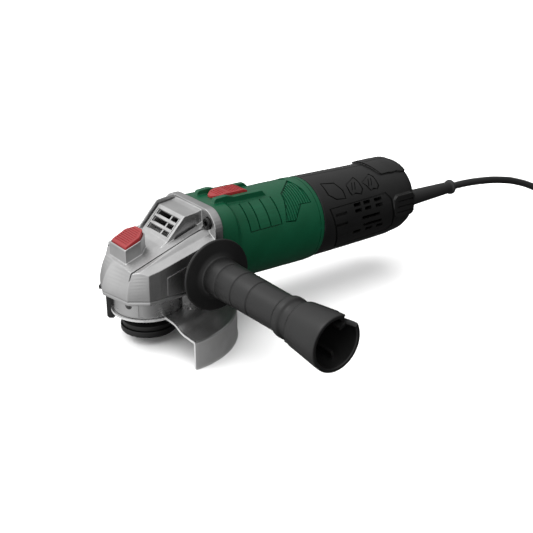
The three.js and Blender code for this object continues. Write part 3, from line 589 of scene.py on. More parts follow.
low_plan = [(46, 36), (-9, 36), (-16, 32), (-30, 18), (-36.3, 3), (-31, -25.4), (-18, -35.4),
            (-9, -36), (46, -36)]
top_plan = [(46, 36), (-9, 36), (-14.5, 30.5), (-25.2, 15), (-25.8, 2), (-25.7, -25.4),
            (-17.6, -35.2), (-9, -36), (46, -36)]
rise = [step / 9 for step in range(10)]
plan = [[(lx + (tx - lx) * t ** 1.9, ly + (ty - ly) * t ** 1.9, 46.2 + 22 * t)
         for (lx, ly), (tx, ty) in zip(low_plan, top_plan)] for t in rise]
plan.append([(x, y, 110) for x, y in top_plan])
head = common(loft([shoulder(-38), shoulder(46)]), loft(plan))
plate_side = [(36, -27), (36, 27), (27, 36), (-27, 36), (-36, 27), (-36, -27), (-27, -36), (27, -36)]
plate = prism([(y, motor_z + z) for y, z in rounded(plate_side, 7)], "x", 39, 46)
web = prism([(34.5, 50), (34.5, 46.2), (38, 35), (40, 35), (40, 50)], "y", -28, 28)
tower_side = [(1.5, 74), (1.5, 77), (8.5, 80.5), (24, 96.8), (34.7, 98), (40, 99.5), (40, 74)]
tower = prism(tower_side, "y", -18, 18)
lock_side = [(-23, 12.2), (-23, -12.2), (-10, -12.2), (-2.6, -5.6), (-2.6, 5.6), (-10, 12.2)]
lock_tower = cut(prism(lock_side, "z", 68, 90),
                 prism([(-30, 76.9), (10, 91.3), (10, 110), (-30, 110)], "y", -20, 20))
boss = prism([(18, 46.2), (42, 46.2), (42, 74), (18, 70)], "y", -37, 37)
rim = tube(28.4, 30.8, 45, 50, "x", (0, 0, motor_z))
fin = prism([(3.5, 78), (8, 82.5), (23.2, 99.2), (34, 100.6), (40, 101), (40, 74), (3.5, 74)],
            "y", 19.6, 21.2)
head = join(head, plate, web, tower, lock_tower, boss, rim, fin)
print("head blocks joined:", len(head.data.polygons), "faces")


# %% [markdown]
# ## The head's pockets, vents and panel lines
# Cores in the die leave the bores, the duct and the lock's pocket, so they are cut before the skin
# is softened.  Vents and panel lines are only a millimetre or two wide.  The remesh would wash them
# out, so they are cut crisply after it.


# %% Gear housing: vents
TOWER_SLOPE = -43.6


def louvre(row, y0, y1, half, depth):
    """One vent slot, square to the tower's sloping face."""
    slot = block((-half, half), (y0, y1), (-9, depth))
    return moved(spun(slot, TOWER_SLOPE, "Y"), 11.8 + 4.3 * row, 0, 84 + 4.5 * row)


slots = []
for row in range(3):
    for y0, y1 in ((-2.4, 13.4), (-13.4, -4.0)):
        slots.append(moved(louvre(row, y0, y1, 1.8, 3), 0.2, 0, 0.25))
    slots.append(moved(louvre(row, -14, 14, 2.3, 3), -5.1, 0, 5.4))
face_frame = [block((-8.6, 8.6), (y - 0.35, y + 0.35), (-0.7, 3)) for y in (-15.2, 15.2)]
face_frame = [moved(spun(line, TOWER_SLOPE, "Y"), 16.2, 0, 88.6) for line in face_frame]
side_panel = [(12, 79), (24.5, 92.6), (34.2, 93.6), (34.2, 79)]
side_panels = [prism(rounded(side_panel, 1.2), "y", *span) for span in ((-19, -17.1), (17.1, 19))]
print("vent slots", len(slots))

# %% Gear housing: pockets and screw holes
duct = prism([(16, 80), (26, 92), (47, 93), (47, 80)], "y", -15, 15)
lock_pocket = prism([(-21.9, 11.1), (-21.9, -11.1), (-9.6, -11.1), (-3.6, -5.2), (-3.6, 5.2),
                     (-9.6, 11.1)], "z", 70, 95)
PLATE_Y, PLATE_Z = 26.5, 26
screw_spots = [(PLATE_Y * sy, motor_z + PLATE_Z * sz) for sy in (-1, 1) for sz in (-1, 1)]
plate_holes = [rod(radius, 19, end, "x", (0, y, z), 24)
               for y, z in screw_spots for radius, end in ((2.3, 47), (4.5, 41))]
COVER_CIRCLE_R = 31.5
cover_spots = [(COVER_CIRCLE_R * math.cos(math.radians(t)), COVER_CIRCLE_R * math.sin(math.radians(t)))
               for t in (45, 135, 225, 315)]
cover_holes = [rod(2.3, 45.2, 56, "z", (x, y, 0), 24) for x, y in cover_spots]
stud_holes = [rod(4.3, *span, "y", (30, 0, 60), 32) for span in ((-40, -20), (20, 40))]
print("screw holes", len(plate_holes) + len(cover_holes))

# %% Gear housing: panel lines and fitting
grooves = both(lambda side: loft([[(x, side * (25.2 + dy), deck_z(x) + dz) for dy, dz in
                                   ((-0.5, -2.2), (0.5, -2.2), (0.5, 4), (-0.5, 4))]
                                  for x in (-26.5, 36)]))
line_outer = rounded([(-4.2, 47.6), (19, 47.6), (19, 67.8), (-3.6, 62)], 0.8)
line_inner = rounded([(-3, 46), (21, 46), (21, 67.2), (-2.5, 61)], 0.8)
boss_line = both(lambda side: cut(prism(line_outer, "y", *sorted((side * 35.3, side * 38))),
                                  prism(line_inner, "y", *sorted((side * 35, side * 38.5)))))
groove_ends = [prism([(-23.5, 66.6), (-29.3, 60), (-33, 60), (-33, 64), (-27, 71), (-23.5, 71)], "y",
                     -25.8, -24.7)]
hollows = [rod(24, 45.2, 62, "z"), rod(6.3, 61, 68.6, "z"), rod(9, 8, 30, "x", (0, 0, motor_z)),
           rod(13.3, 29.7, 55, "x", (0, 0, motor_z)), rod(28.4, 43, 55, "x", (0, 0, motor_z), 64),
           rod(2.6, 61, 71, "z", (-9.5, 0, 0), 24)]
head = cut(head, *hollows, duct, lock_pocket, *plate_holes, *cover_holes, *stud_holes)
head = soften(head, 0.36, 3, 120000)
head = cut(head, *grooves, *groove_ends, *slots, *side_panels, *face_frame, *boss_line)
fit(head, "gear_head", "housing", "cast", cast, "gear_housing")

# %% [markdown]
# ## Gear cover
# The cover closes the head from below and carries the neck that the guard's collar grips.  Its rim
# follows the head's lower outline a little inside it, and the neck is turned.

# %% Gear cover
cover_plan = [(min(x, 31), y) for x, y in low_plan]
cover_rim = [prism([(x * share, y * share) for x, y in cover_plan], "z", *span)
             for share, span in ((0.986, (43.2, 45.9)), (0.965, (42.6, 43.3)))]
neck = turned(rounded([(0, 24.8), (24, 24.8), (24, 43.6), (0, 43.6)], 0.8, keep=(0, 3)), "z")
cover = join(*cover_rim, neck, rod(23.7, 45.2, 48.6, "z", steps=96))
SIGHT_HOLE = {"degrees": 207, "z": 36}
sight_hole = moved(spun(rod(3, 21.5, 45, "x", steps=40), SIGHT_HOLE["degrees"]), z=SIGHT_HOLE["z"])
cover = cut(cover, sight_hole, rod(16.3, 33.2, 50.2, steps=64), rod(12.3, 27.2, 34.5), rod(10, 23.2, 28.2),
            *[rod(r, a, b, "z", (x, y, 0), 24) for x, y in cover_spots
              for r, a, b in ((2.3, 41.6, 46.2), (4.0, 41.6, 44.6))])
fit(bevelled(cover, 0.25, 2), "gear_case_cover", "housing", "cast", cast, "gear_cover")

# %% [markdown]
# ## Guard
# The guard is drawn from sheet steel.  A turned profile of even thickness with rounded corners
# makes it, and a straight cut leaves a half-round that is still whole round its hub.  Faces on the
# cut take a bright grey, a painted edge highlight, and those of the skirt a lighter copy of the
# steel, which paints in the lighter tone that the light gives the skirt.

# %% Guard
HUB_R = 28
RIM_R = 67.6
CUT_X = -1.4
skirt = [(24.6, 26.2), (41, 26.2), (50, 22.2), (66.4, 22.2), (RIM_R, 21), (RIM_R, 1.2), (68.2, 0),
         (65.8, 0), (65.8, 20.4), (49.4, 20.4), (40.4, 24.4), (24.6, 24.4)]
radii = [0.2, 5, 5, 1.8, 1.2, 0.6, 0.2, 0.2, 1.2, 4, 4, 0.2]
guard = turned(rounded(skirt, radii, 5), "z", 160)
keep = join(rod(HUB_R, -1, 40, steps=96), block((CUT_X, 80), (-80, 80), (-2, 41)))
guard = common(guard, keep)
spots = [rod(2.0, 25.7, 27.0, "z", (33.5 * math.cos(t), 33.5 * math.sin(t), 0), 24)
         for t in (math.radians(-52), math.radians(-38), math.radians(38), math.radians(52))]
guard = cut(guard, *spots)
guard = fit(bevelled(guard, 0.22, 2, 40), "guard_sheet", "guard", "steel", sheet, "guard")
guard.data.materials.append(edge_highlight_steel)
guard.data.materials.append(skirt_lit_copy_steel)
# Faces on the cut and round the hub take the painted edge highlight.
for face in guard.data.polygons:
    place = face.center / MM - Vector((spindle_x, spindle_y, 0)) / MM
    on_cut = abs(place.x - CUT_X) < 0.3 and abs(face.normal.x) > 0.5
    on_hub = abs(math.hypot(place.x, place.y) - HUB_R) < 0.3 and place.x < 0
    if on_cut or on_hub:
        face.material_index = 1
    # Outer skirt faces take the lighter lit copy of the steel.
    elif math.hypot(place.x, place.y) > RIM_R - 0.3 and place.z < 21:
        face.material_index = 2

# %% [markdown]
# ## Collar and its lever
# A split steel band clamps the guard to the neck, and a black lever tightens it.  Both are sectors
# of rings about the spindle, so they are drawn that way, with the lever's eye at its pin.

# %% Collar and its lever
collar = tube(24.3, 26, 26.5, 42.3, "z", steps=128)
lug = spun(block((25, 33), (-3, 3), (30, 33)), 96)
hole = moved(spun(rod(3, 15, 45, "x", steps=40), SIGHT_HOLE["degrees"]), z=SIGHT_HOLE["z"])
split = spun(block((15, 45), (-1.2, 1.2), (20, 50)), 112)
LEVER_PIN_R = 29.8
LEVER_PIN_AT = math.radians(96)
lever_at = (LEVER_PIN_R * math.cos(LEVER_PIN_AT), LEVER_PIN_R * math.sin(LEVER_PIN_AT), 0)
notch = spun(block((25.4, 30), (-1.6, 1.6), (27.5, 45)), 228)
collar = cut(join(collar, lug), hole, notch, split, rod(1.8, 20, 50, "z", lever_at, 24))
fit(collar, "collar_band", "guard", "steel", band, "guard_collar")

arm = prism(sector(26.5, 29.6, 104, 140), "z", 14.6, 42)
eye = rod(3.6, 34, 38.5, "z", lever_at)
bridge = prism(sector(26.8, 31, 96, 106), "z", 34, 38.5)
tab_side = [(26.5, 14.6), (30.5, 14.6), (31.8, 16.4), (31.8, 39), (36.6, 39), (36.6, 42), (26.5, 42)]
tab = spun(prism(rounded(tab_side, 0.8), "y", -1.8, 1.8), 141)
lever = cut(join(arm, eye, bridge, tab), rod(1.8, 20, 50, "z", lever_at, 24),
            tube(20, 28.4, 24.1, 26.5, "z"))
fit(bevelled(lever, 0.4, 3, 40), "collar_lever", "guard_lever", "black", black, "guard_lever")

# %% [markdown]
# ## Flange and clamping nut
# Both are turned from bar, blackened, and share the spindle's thread.  A turned profile is the
# plain way to make them.  The nut has four holes for a pin spanner.

# %% Flange and nut
seat = [(7.3, 11.8), (11, 11.8), (11, 13), (20.5, 13), (20.5, 16.4), (15, 19), (11, 22), (7.3, 22)]
flange = turned(rounded(seat, 0.5), "z", 128)
fit(flange, "flange", "spindle", "black_steel", black_steel, "support_flange")
nut_side = [(7.3, 6.4), (12, 6.4), (13, 7.6), (20.7, 7.6), (21.7, 8.6), (21.7, 12.7), (11.4, 12.7),
            (11.4, 11.3), (7.3, 11.3)]
nut = turned(rounded(nut_side, 0.5), "z", 128)
pins = [rod(2.5, 4, 10, "z", (15.5 * math.cos(t), 15.5 * math.sin(t), 0), 32)
        for t in (0, math.pi / 2, math.pi, -math.pi / 2)]
nut = cut(nut, *pins)
fit(nut, "clamp_nut", "spindle", "black_steel", black_steel, "clamping_nut")

# %% [markdown]
# ## Spindle-lock button
# A moulded five-sided key that slides in its pocket.  Fine ridges across the top stop a thumb
# slipping.

# %% Lock button
key = [(-21.5, 10.7), (-21.5, -10.7), (-9.8, -10.7), (-4, -5), (-4, 5), (-9.8, 10.7)]
button = cut(prism(rounded(key, 0.9), "z", 74.2, 100),
             prism([(-30, 77.4), (10, 96), (10, 120), (-30, 120)], "y", -20, 20),
             rod(2.1, 70, 78, "z", (-9.5, 0, 0), 24))
button = bevelled(button, 0.6, 3, 40)
slope = math.degrees(math.atan2(96 - 77.4, 40))
ridges = [moved(spun(block((-0.35, 0.35), (-8.4 + max(0, i - 5), 8.4 - max(0, i - 5)), (-0.5, 2)),
                     -slope, "Y"), -19.4 + 1.6 * i, 0, 77.4 + 0.465 * (10.6 + 1.6 * i))
          for i in range(9)]
button = cut(button, *ridges)
fit(button, "lock_key", "lock", "red", red, "lock_button")

# %% [markdown]
# ## Motor housing
# A deep moulded can.  Its front is squarish, to meet the head's plate, and it turns round within
# 30 mm.  It carries finger grooves, a ribbed hatch on each side and two cheeks that guide the
# slide switch.


# %% Motor housing: skin
def body_ring(x, half, up, down, square, count=96):
    ring = []
    for i in range(count):
        t = 2 * math.pi * i / count
        c = math.copysign(abs(math.cos(t)) ** (2 / square), math.cos(t))
        s = math.copysign(abs(math.sin(t)) ** (2 / square), math.sin(t))
        ring.append((x, half * c, motor_z + (up if s > 0 else down) * s))
    return ring


def skin_through(stations, step=1.5):
    """Rings between stations of (x, half, up, down, squareness), eased from one to the next."""
    rings = []
    for first, last in zip(stations, stations[1:]):
        count = max(1, round((last[0] - first[0]) / step))
        for i in range(count):
            share = i / count
            values = [a + (b - a) * share for a, b in zip(first, last)]
            rings.append(body_ring(*values))
    rings.append(body_ring(*stations[-1]))
    return loft(rings)


BARREL_R = 34


def housing_skin(grow=0.0):
    r = BARREL_R + grow
    return skin_through([(46.3, r + 1.6, r + 0.6, r + 0.6, 4.0), (60.3, r + 1.4, r + 0.6, r + 0.6, 3.8),
                         (64.3, r + 0.3, r, r + 0.4, 2.4), (80.3, r, r, r + 0.8, 2.1),
                         (138.7, r, r, r + 2.8, 2.0), (146.7, r - 0.4, r - 0.6, r + 2.2, 2.0)])


print("barrel", 2 * BARREL_R, "mm across")


# %% Motor housing: patches on the round body
def patch(outline, middle, low, high, side=-1):
    """Skin over an outline of (x, degrees) on one side of the round body, between two radii."""
    points = [(x, BARREL_R * math.sin(math.radians(angle - middle))) for x, angle in outline]
    piece = prism(points, "z", 5, 60)
    piece.data.transform(Matrix.Rotation(math.radians(90 - middle), 4, "X"))
    if side > 0:
        piece.data.transform(Matrix.Scale(-1, 4, (0, 1, 0)))
        piece.data.flip_normals()
    xs = [x for x, angle in outline]
    moved(piece, z=motor_z)
    return common(piece, tube(low, high, min(xs) - 3, max(xs) + 3, "x", (0, 0, motor_z), 160))


def grown(outline, distance):
    """Outline of (x, degrees) with each corner moved away from the middle."""
    per_degree = BARREL_R * math.pi / 180
    middle = Vector([sum(values) / len(outline) for values in zip(*outline)])
    result = []
    for corner in outline:
        away = Vector(corner) - middle
        away.y *= per_degree
        away = away.normalized() * distance
        result.append((corner[0] + away.x, corner[1] + away.y / per_degree))
    return result


def outline_groove(outline, middle, width, depth_r, side):
    wide = patch(grown(outline, width / 2), middle, depth_r, 37, side)
    return cut(wide, patch(grown(outline, -width / 2), middle, depth_r - 1, 38, side))


# %% [markdown]
# ## The housing's cheeks, grip lines and hatch
# Two cheeks stand beside the switch, and thin lines and a hatched field give the thumb its grip.
# The shell is joined, hollowed and softened, and then the thin lines are cut.

# %% Motor housing: shell, lines and hatch
SIDES = (-1, 1)
cheek_side = rounded([(50, 95), (54.5, 103), (65, 103.4), (71, 101.4), (98, 101), (103, 95)], 1.2)
cheeks = [prism(cheek_side, "y", *sorted((9.4 * s, 14 * s))) for s in SIDES]
axis_point = (0, 0, motor_z)
can = join(housing_skin(), *cheeks)
can = cut(can, rod(31.2, 45, 142, "x", axis_point, 128))
can = join(can, tube(28, 30.3, 145.7, 152.2, "x", axis_point), rod(12.5, 142, 155.7, "x", axis_point))
fingers = [prism(sector(32.5, 37, *span, motor_z), "x", x - 0.55, x + 0.55)
           for x in (74, 83, 93.5, 104) for span in ((21, 62), (118, 159))]
finger_line = [(73.5, 20.2), (104.5, 20.2), (104.5, 21.8), (73.5, 21.8)]
finger_lines = [patch(finger_line, 21, 32.9, 37, side) for side in SIDES]
hatch = [(115, 62), (114.1, 52), (108.3, 21.9), (117.9, 19.8), (127, 40), (137.4, 39),
         (136.3, 60), (132.5, 88)]
hatches = [outline_groove(hatch, 52, 1.0, 32.6, side) for side in SIDES]
fields = [patch(grown(hatch, -0.6), 52, 33.0, 37, side) for side in SIDES]
print("line cuts", len(fingers) + len(finger_lines) + len(hatches) + len(fields))

# %% Motor housing: hollow, soften and cut
wall_cut = [prism(sector(15, 26.5, t - 32, t + 32, motor_z), "x", 141, 147.7)
            for t in (45, 135, 225, 315)]
can = cut(can, rod(4.8, 141, 158.7, "x", axis_point), rod(9.8, 146.7, 158.7, "x", axis_point),
          block((140, 154.7), (-4.4, 4.4), (94, 96.9)), block((60.5, 82.5), (-3.4, 3.4), (93, 110)),
          *wall_cut, *[rod(2.3, 45.3, 59.5, "x", (0, y, z), 24) for y, z in screw_spots])
can = soften(can, 0.40, 3, 110000)
rear_line = tube(33.2, 38, 142.2, 142.9, "x", axis_point, 160)
can = cut(can, *fields, *fingers, *finger_lines, *hatches, rear_line)
fit(can, "motor_can", "housing", "green", green, "motor_housing")

# %% [markdown]
# ## Patterns with Geometry Nodes
# Screws and ribs repeat, so one small node tree sets any shape on a list of points and turns each
# one by a random amount about an axis, from a fixed seed.  A screw is never driven to the same
# angle twice, so the sockets differ.


# %% Pattern tree
TURN_SEED = 7


def pattern_tree():
    tree = bpy.data.node_groups.new("set on points", "GeometryNodeTree")
    tree.is_modifier = True
    sockets = {}
    for name, kind in (("Points", "Geometry"), ("Shape", "Object"), ("About", "Vector"),
                       ("Most turn", "Float"), ("Finish", "Material")):
        socket = tree.interface.new_socket(name, in_out="INPUT", socket_type="NodeSocket" + kind)
        sockets[name] = socket.identifier
    tree.interface.new_socket("Result", in_out="OUTPUT", socket_type="NodeSocketGeometry")
    made = {kind: tree.nodes.new(kind) for kind in (
        "NodeGroupInput", "NodeGroupOutput", "GeometryNodeObjectInfo", "GeometryNodeInstanceOnPoints",
        "GeometryNodeRealizeInstances", "GeometryNodeSetMaterial", "FunctionNodeRandomValue",
        "ShaderNodeVectorMath")}
    given = made["NodeGroupInput"].outputs
    info = made["GeometryNodeObjectInfo"]
    place = made["GeometryNodeInstanceOnPoints"]
    real = made["GeometryNodeRealizeInstances"]
    paint = made["GeometryNodeSetMaterial"]
    chance = made["FunctionNodeRandomValue"]
    turn = made["ShaderNodeVectorMath"]
    chance.data_type = "FLOAT"
    turn.operation = "SCALE"
    chance.inputs["Seed"].default_value = TURN_SEED
    random_out = [o for o in chance.outputs if o.type == "VALUE" and o.enabled][0]
    random_max = [i for i in chance.inputs if i.name == "Max" and i.type == "VALUE" and i.enabled][0]
    links = [(given["Shape"], info.inputs["Object"]), (given["Points"], place.inputs["Points"]),
             (info.outputs["Geometry"], place.inputs["Instance"]),
             (given["Most turn"], random_max), (given["About"], turn.inputs[0]),
             (random_out, turn.inputs["Scale"]), (turn.outputs[0], place.inputs["Rotation"]),
             (place.outputs[0], real.inputs[0]), (real.outputs[0], paint.inputs["Geometry"]),
             (given["Finish"], paint.inputs["Material"]),
             (paint.outputs[0], made["NodeGroupOutput"].inputs[0])]
    for start, end in links:
        tree.links.new(start, end)
    return tree, sockets


PATTERN, PATTERN_INPUTS = pattern_tree()
print("pattern inputs", sorted(PATTERN_INPUTS))


# %% Using the pattern tree
def pattern(points, shape, material, about=(0, 0, 0), most_turn=0.0):
    """A plain mesh with the shape set at each point; the shape itself is used up."""
    holder = bpy.data.objects.new("pattern", bpy.data.meshes.new("pattern"))
    holder.data.from_pydata([tuple(p) for p in points], [], [])
    scene.collection.objects.link(holder)
    step = holder.modifiers.new("pattern", "NODES")
    step.node_group = PATTERN
    values = {"Shape": shape, "About": about, "Most turn": most_turn, "Finish": material}
    for name, value in values.items():
        step[PATTERN_INPUTS[name]] = value
    baked(holder)
    bpy.data.objects.remove(shape)
    return holder


# %% [markdown]
# ## Screws
# Socket cap screws hold the cover, the head and the handle.  One turned shape with a six-sided
# socket serves for all of them, in three sizes.


# %% Screw shape
def cap_screw(head_r, shank_r, h0, h1, h2, axis):
    """Socket cap screw along an axis through the origin, its edges broken."""
    rim = rounded([(0, h0), (head_r, h0), (head_r, h1), (shank_r, h1), (shank_r, h2), (0, h2)],
                  0.35, 3, keep=(0, 5))
    body = turned(rim, axis, 40)
    reach = h0 - math.copysign(1, h1 - h0)
    socket = turned([(0, reach), (head_r * 0.52, reach), (head_r * 0.52, h0 + (h1 - h0) * 0.7),
                     (0, h0 + (h1 - h0) * 0.7)], axis, 6)
    return cut(body, socket)


# %% Screws of the cover, the plate and the handle
for number, (x, y) in enumerate(cover_spots, 1):
    screws = pattern([(x, y, 0)], cap_screw(3.7, 2, 42.7, 44.3, 55, "z"), bright_steel,
                     (0, 0, 1), 1.0 + 0.3 * number)
    fit(screws, f"case_screw_{number}", "housing", "steel", bright_steel, f"cover_screw_{number}")
head_spots = [(-1, 1), (1, 1), (-1, -1), (1, -1)]
for number, (sy, sz) in enumerate(head_spots, 1):
    spot = (0, PLATE_Y * sy, motor_z + PLATE_Z * sz)
    screws = pattern([spot], cap_screw(4.1, 2, 36.8, 40.7, 58, "x"), black_steel, (1, 0, 0),
                     1.0 + 0.4 * number)
    fit(screws, f"plate_screw_{number}", "housing", "black_steel", black_steel,
        f"head_screw_{number}")
tail_spots = [(172, 41), (216, 43), (246, 85)]
for number, (x, z) in enumerate(tail_spots, 1):
    screws = pattern([(x, 0, z)], cap_screw(3.5, 1.6, 20.4, 18, -18, "y"), bright_steel,
                     (0, 1, 0), 0.8 * number)
    fit(screws, f"handle_screw_{number}", "housing", "steel", bright_steel,
        f"tail_screw_{number}")

# %% [markdown]
# ## Hatch ribs
# The hatched field holds a row of thin ribs that follow the round body.  One arc is set at even
# steps and the row is then cut to the field's outline.

# %% Hatch ribs
for side, name in zip(SIDES, ("right", "left")):
    span = (0, 78) if side > 0 else (102, 180)
    rib = prism(sector(32.6, 33.9, *span, motor_z, 60), "x", -0.5, 0.5)
    ribs = pattern([(109.5 + 2.4 * i, 0, 0) for i in range(12)], rib, green)
    ribs = common(ribs, patch(grown(hatch, -0.9), 52, 32.4, 35, side))
    fit(ribs, f"hatch_ribs_{name}", "housing", "green", green)

# %% [markdown]
# ## Slide switch
# A moulded thumb slide with a pointed front and cross ridges.  Its underside is cut with the
# housing's own skin, so that it follows the crown with an even gap through its whole travel.

# %% Slide switch
thumb = [(57.8, 2.2), (57.8, -2.2), (64, -7.6), (68, -8.2), (88.4, -8.2), (88.4, 8.2), (68, 8.2),
         (64, 7.6)]
over = [(50, 110), (50, 101), (57, 101.2), (68, 103.0), (85, 102.8), (89, 101.2), (89, 110)]
slide = cut(prism(rounded(thumb, 1.0), "z", 92, 108), prism(over, "y", -12, 12))
slide = bevelled(slide, 0.55, 3, 40)
notches = [block((62.6 + 2.1 * i, 63.5 + 2.1 * i), (-5.2, 5.2), (101.9 + 0.28 * i, 110))
           for i in range(4)]
notches += [block((73.5 + 2.1 * i, 74.4 + 2.1 * i), (-6.4, 6.4), (102.2, 110)) for i in range(6)]
slide = cut(slide, *notches)
slide = cut(slide, *[moved(housing_skin(0.3), x=travel) for travel in (0, 4, 8)])
slide = join(slide, block((68.8, 82.2), (-3, 3), (96, 100)))
fit(slide, "thumb_slide", "slider", "red", red, "switch_slider")

# %% [markdown]
# ## Rear handle
# Two moulded shells meet along the middle.  Each carries slots that let the cooling air in, and a
# ribbed pad.  The whole tube is built and cut first and is then split, so the halves match.


# %% Rear handle
def tail_skin(inset, step=0.0):
    r = 33.6 - inset
    end = 252.8 - inset
    start = 147 - (1 if inset else 0)
    return skin_through([
        (start, r, r, r + 2.0, 2.0), (209.6, r, r - 2.2 + step, r + 2.0, 2.0),
        (231, r, r - 2.2 + step, r + 1.6, 2.0),
        (244.5 - inset / 2, r - 1, r + step - 3, r - 0.8, 2.1),
        (end - 2.5, r - 3.4, r + step - 5.4, r - 3.8, 2.2),
        (end, r - 6, r + step - 8, r - 7.4, 2.2)])


shroud_side = [(216, 102), (216.6, 98.4), (217.6, 97), (221, 92.4), (240, 91.6), (248, 90),
               (262, 87), (262, 102)]
shroud = common(tail_skin(0, 2.2), prism(shroud_side, "y", -40, 40))
pad_side = [(224, 57.5), (227, 55), (245, 55), (248, 57.5), (248, 72), (245, 75), (227, 75), (224, 72)]
pads = [prism(rounded(pad_side, 1), "y", *sorted((20 * s, 34.6 * s))) for s in SIDES]
tail = join(tail_skin(0), shroud, *pads)
tail = cut(tail, tail_skin(2.4))
bosses = join(*[rod(4.6, -31, 31, "y", (x, 0, z), 24) for x, z in tail_spots])
tail = join(tail, common(bosses, tail_skin(0.8)))
panels = [([(156.7, 63), (157.4, 42.8), (163.8, 33.6), (173.2, 32.2), (173.5, 44.6), (169.3, 59)], 46),
          ([(179.8, 51), (179.6, 39.4), (181, 34), (185, 36), (190.6, 32.7), (194.2, 39.7),
            (193.7, 53.5), (192.1, 61)], 46),
          ([(197, 49), (199.5, 43.5), (202.1, 34), (206, 36), (209.3, 34.2), (212.3, 38.8),
            (212.4, 54), (210, 60.6)], 46)]
frame_side = [(154, 22), (216.2, 23.8), (221.1, 14.2), (227.2, -32), (223, -40), (165.6, -44.6)]


# %% Rear handle: lines and vents
def tail_cuts(s):
    """Everything that is cut crisply in one side of the handle: panel lines, vents, pad ribs."""
    lines = [outline_groove(line, middle, 1.3, 32.4 - 1.6 * drop, s)
             for (line, middle), drop in zip(panels, (0.3, 0.6, 0.8))]
    lines += [patch([(x, 41), (x + 0.9, 41), (x + 4.6, 53), (x + 3.7, 53)], 46, 32.6 - low, 37, s)
              for x, low in ((182.6, 1.0), (185.8, 1.0), (201.4, 1.4), (204.6, 1.4))]
    lines.append(outline_groove(frame_side, -10, 1.9, 32.5, s))
    reach = sorted((22 * s, 40 * s))
    cells = [(a, b, 74.4, 77.4) for a, b in ((179.4, 187), (190, 197.6), (202, 210.6))]
    cells += [(a, b, 69.6, 72.6) for a, b in ((180, 187.4), (191, 198), (203, 211))]
    cells += [(a, b, 50.5, 53.4) for a, b in ((180, 188.6), (194, 201.8), (206.5, 214))]
    cells += [(187.8, 208.2, 62.2, 65), (190, 211.6, 55.4, 58)]
    holes = [prism(rounded([(a, c), (b, c), (b, d), (a, d)], 0.7), "y", *reach)
             for a, b, c, d in cells]
    blind = [(158.6, 171.2, 72), (159.3, 172, 63.2), (161.7, 173.8, 52.4)]
    holes += [prism(rounded([(a, z - 1.2), (b, z - 1.2), (b, z + 1.2), (a, z + 1.2)], 0.7), "y",
                    *sorted((31.2 * s, 40 * s))) for a, b, z in blind]
    ribs = [block((228, 246), sorted((33.5 * s, 36 * s)), (z, z + 1.3)) for z in (59, 64, 69)]
    return lines + holes + ribs


# %% Rear handle: split and fit
HALF_GAP = 0.15
tail = cut(tail, rod(30.6, 145, 152.7, "x", axis_point, 96),
           rod(6.3, 244.7, 264.7, "x", (0, 0, 53)), rod(6.3, 250, 258, "x", (0, 0, 53)))
for s, name in zip(SIDES, ("right", "left")):
    half_space = block((140, 265), sorted((HALF_GAP * s, 50 * s)), (20, 115))
    half = tail.copy()
    half.data = tail.data.copy()
    scene.collection.objects.link(half)
    half = common(half, half_space)
    half = cut(half, *[rod(1.9, -19, 50, "y", (x, 0, z), 24) for x, z in tail_spots],
               *[rod(3.9, 17.6, 50, "y", (x, 0, z), 32) for x, z in tail_spots])
    half = soften(half, 0.42, 2, 70000)
    half = cut(half, *tail_cuts(s))
    fit(half, f"handle_shell_{name}", "housing", "black", black, f"rear_shell_{name}")
bpy.data.objects.remove(tail)

# %% [markdown]
# ## Bend relief
# A tapered rubber sleeve with a bead at its tip spreads the lead's bend over its length.

# %% Bend relief
sleeve = [(0, 240), (4.1, 240), (4.1, 248), (6, 248), (6, 252), (6, 253.4),
          (7.75, 253.4), (7.6, 267.7), (5.6, 328), (5.6, 330), (7, 331), (7, 333), (6, 334), (0, 334)]
relief = turned(rounded(sleeve, 0.7, 4, keep=(0, 13)), "x", 64, (0, 0, 53))
fit(relief, "relief_sleeve", "housing", "lead", rubber, "bend_relief")

# %% [markdown]
# ## Side handle
# One turned, moulded grip: a guard disc, three grip grooves, a bead, and an open cup at the end
# with a notch in its rim.  The profile's corners are rounded one by one before it is spun.

# %% Side handle
grip_side = [(0, 37.6), (10, 37.6), (10, 46), (18, 47.5), (26.6, 48.4), (27.6, 49.6), (27, 51),
             (18, 52.4), (14.8, 54), (14.5, 67), (13.5, 67.8), (14.4, 68.6), (14.1, 85), (13.2, 85.8),
             (14, 86.6), (13.8, 103), (12.9, 103.8), (13.7, 104.6), (13.4, 132), (15, 134), (15, 139),
             (13.4, 141), (13.6, 147), (16.4, 149.4), (19.4, 178), (19.6, 182), (16.8, 182),
             (16.4, 178), (13.6, 151), (0, 151)]
grip = turned(rounded(grip_side, 1.1, 5, keep=(0, 29)), "y", 128)
notch = spun(block((-7, 7), (170, 184), (10, 40)), 40, "Y")
grip = cut(grip, notch, rod(4.3, 30, 66, "y", steps=32))
inner_ribs = [spun(block((-0.9, 0.9), (150, 173), (10.5, 17.4)), degrees, "Y")
              for degrees in (70, 160, 250)]
grip = join(grip, *inner_ribs)
grip.data.transform(Matrix.Translation((30, 0, 60)) @ Matrix.Scale(-1, 4, (0, 1, 0)))
grip.data.flip_normals()
fit(grip, "side_grip", "housing", "black", black, "handle_grip")

# %% [markdown]
# ## Pieces kept from the frame
# The spindle, gears, bearings, motor and switch are already the right shape.  They only need a
# finish, by the slot that the record gives them.

# %% Finishes for the kept pieces
by_slot = {"cast": cast, "steel": bright_steel, "black_steel": black_steel, "felt": felt,
           "brass": brass, "red": red, "green": green, "black": black, "terminal": terminal,
           "iron": iron, "copper": copper, "carbon": carbon, "lead": rubber}
kept = 0
for row in frame["record"]["subparts"]:
    node = frame["nodes"][row["node"]]
    if not node.hide_render:
        node.data.materials.clear()
        node.data.materials.append(by_slot[row["material_slot"]])
        kept += 1
print("kept pieces", kept)

# %% [markdown]
# ## Floor
# A seamless pale sheet of paper.  Reflections and bounced light pass it by, so the lower sides of
# the tool keep the depth that they have in a studio with dark walls.

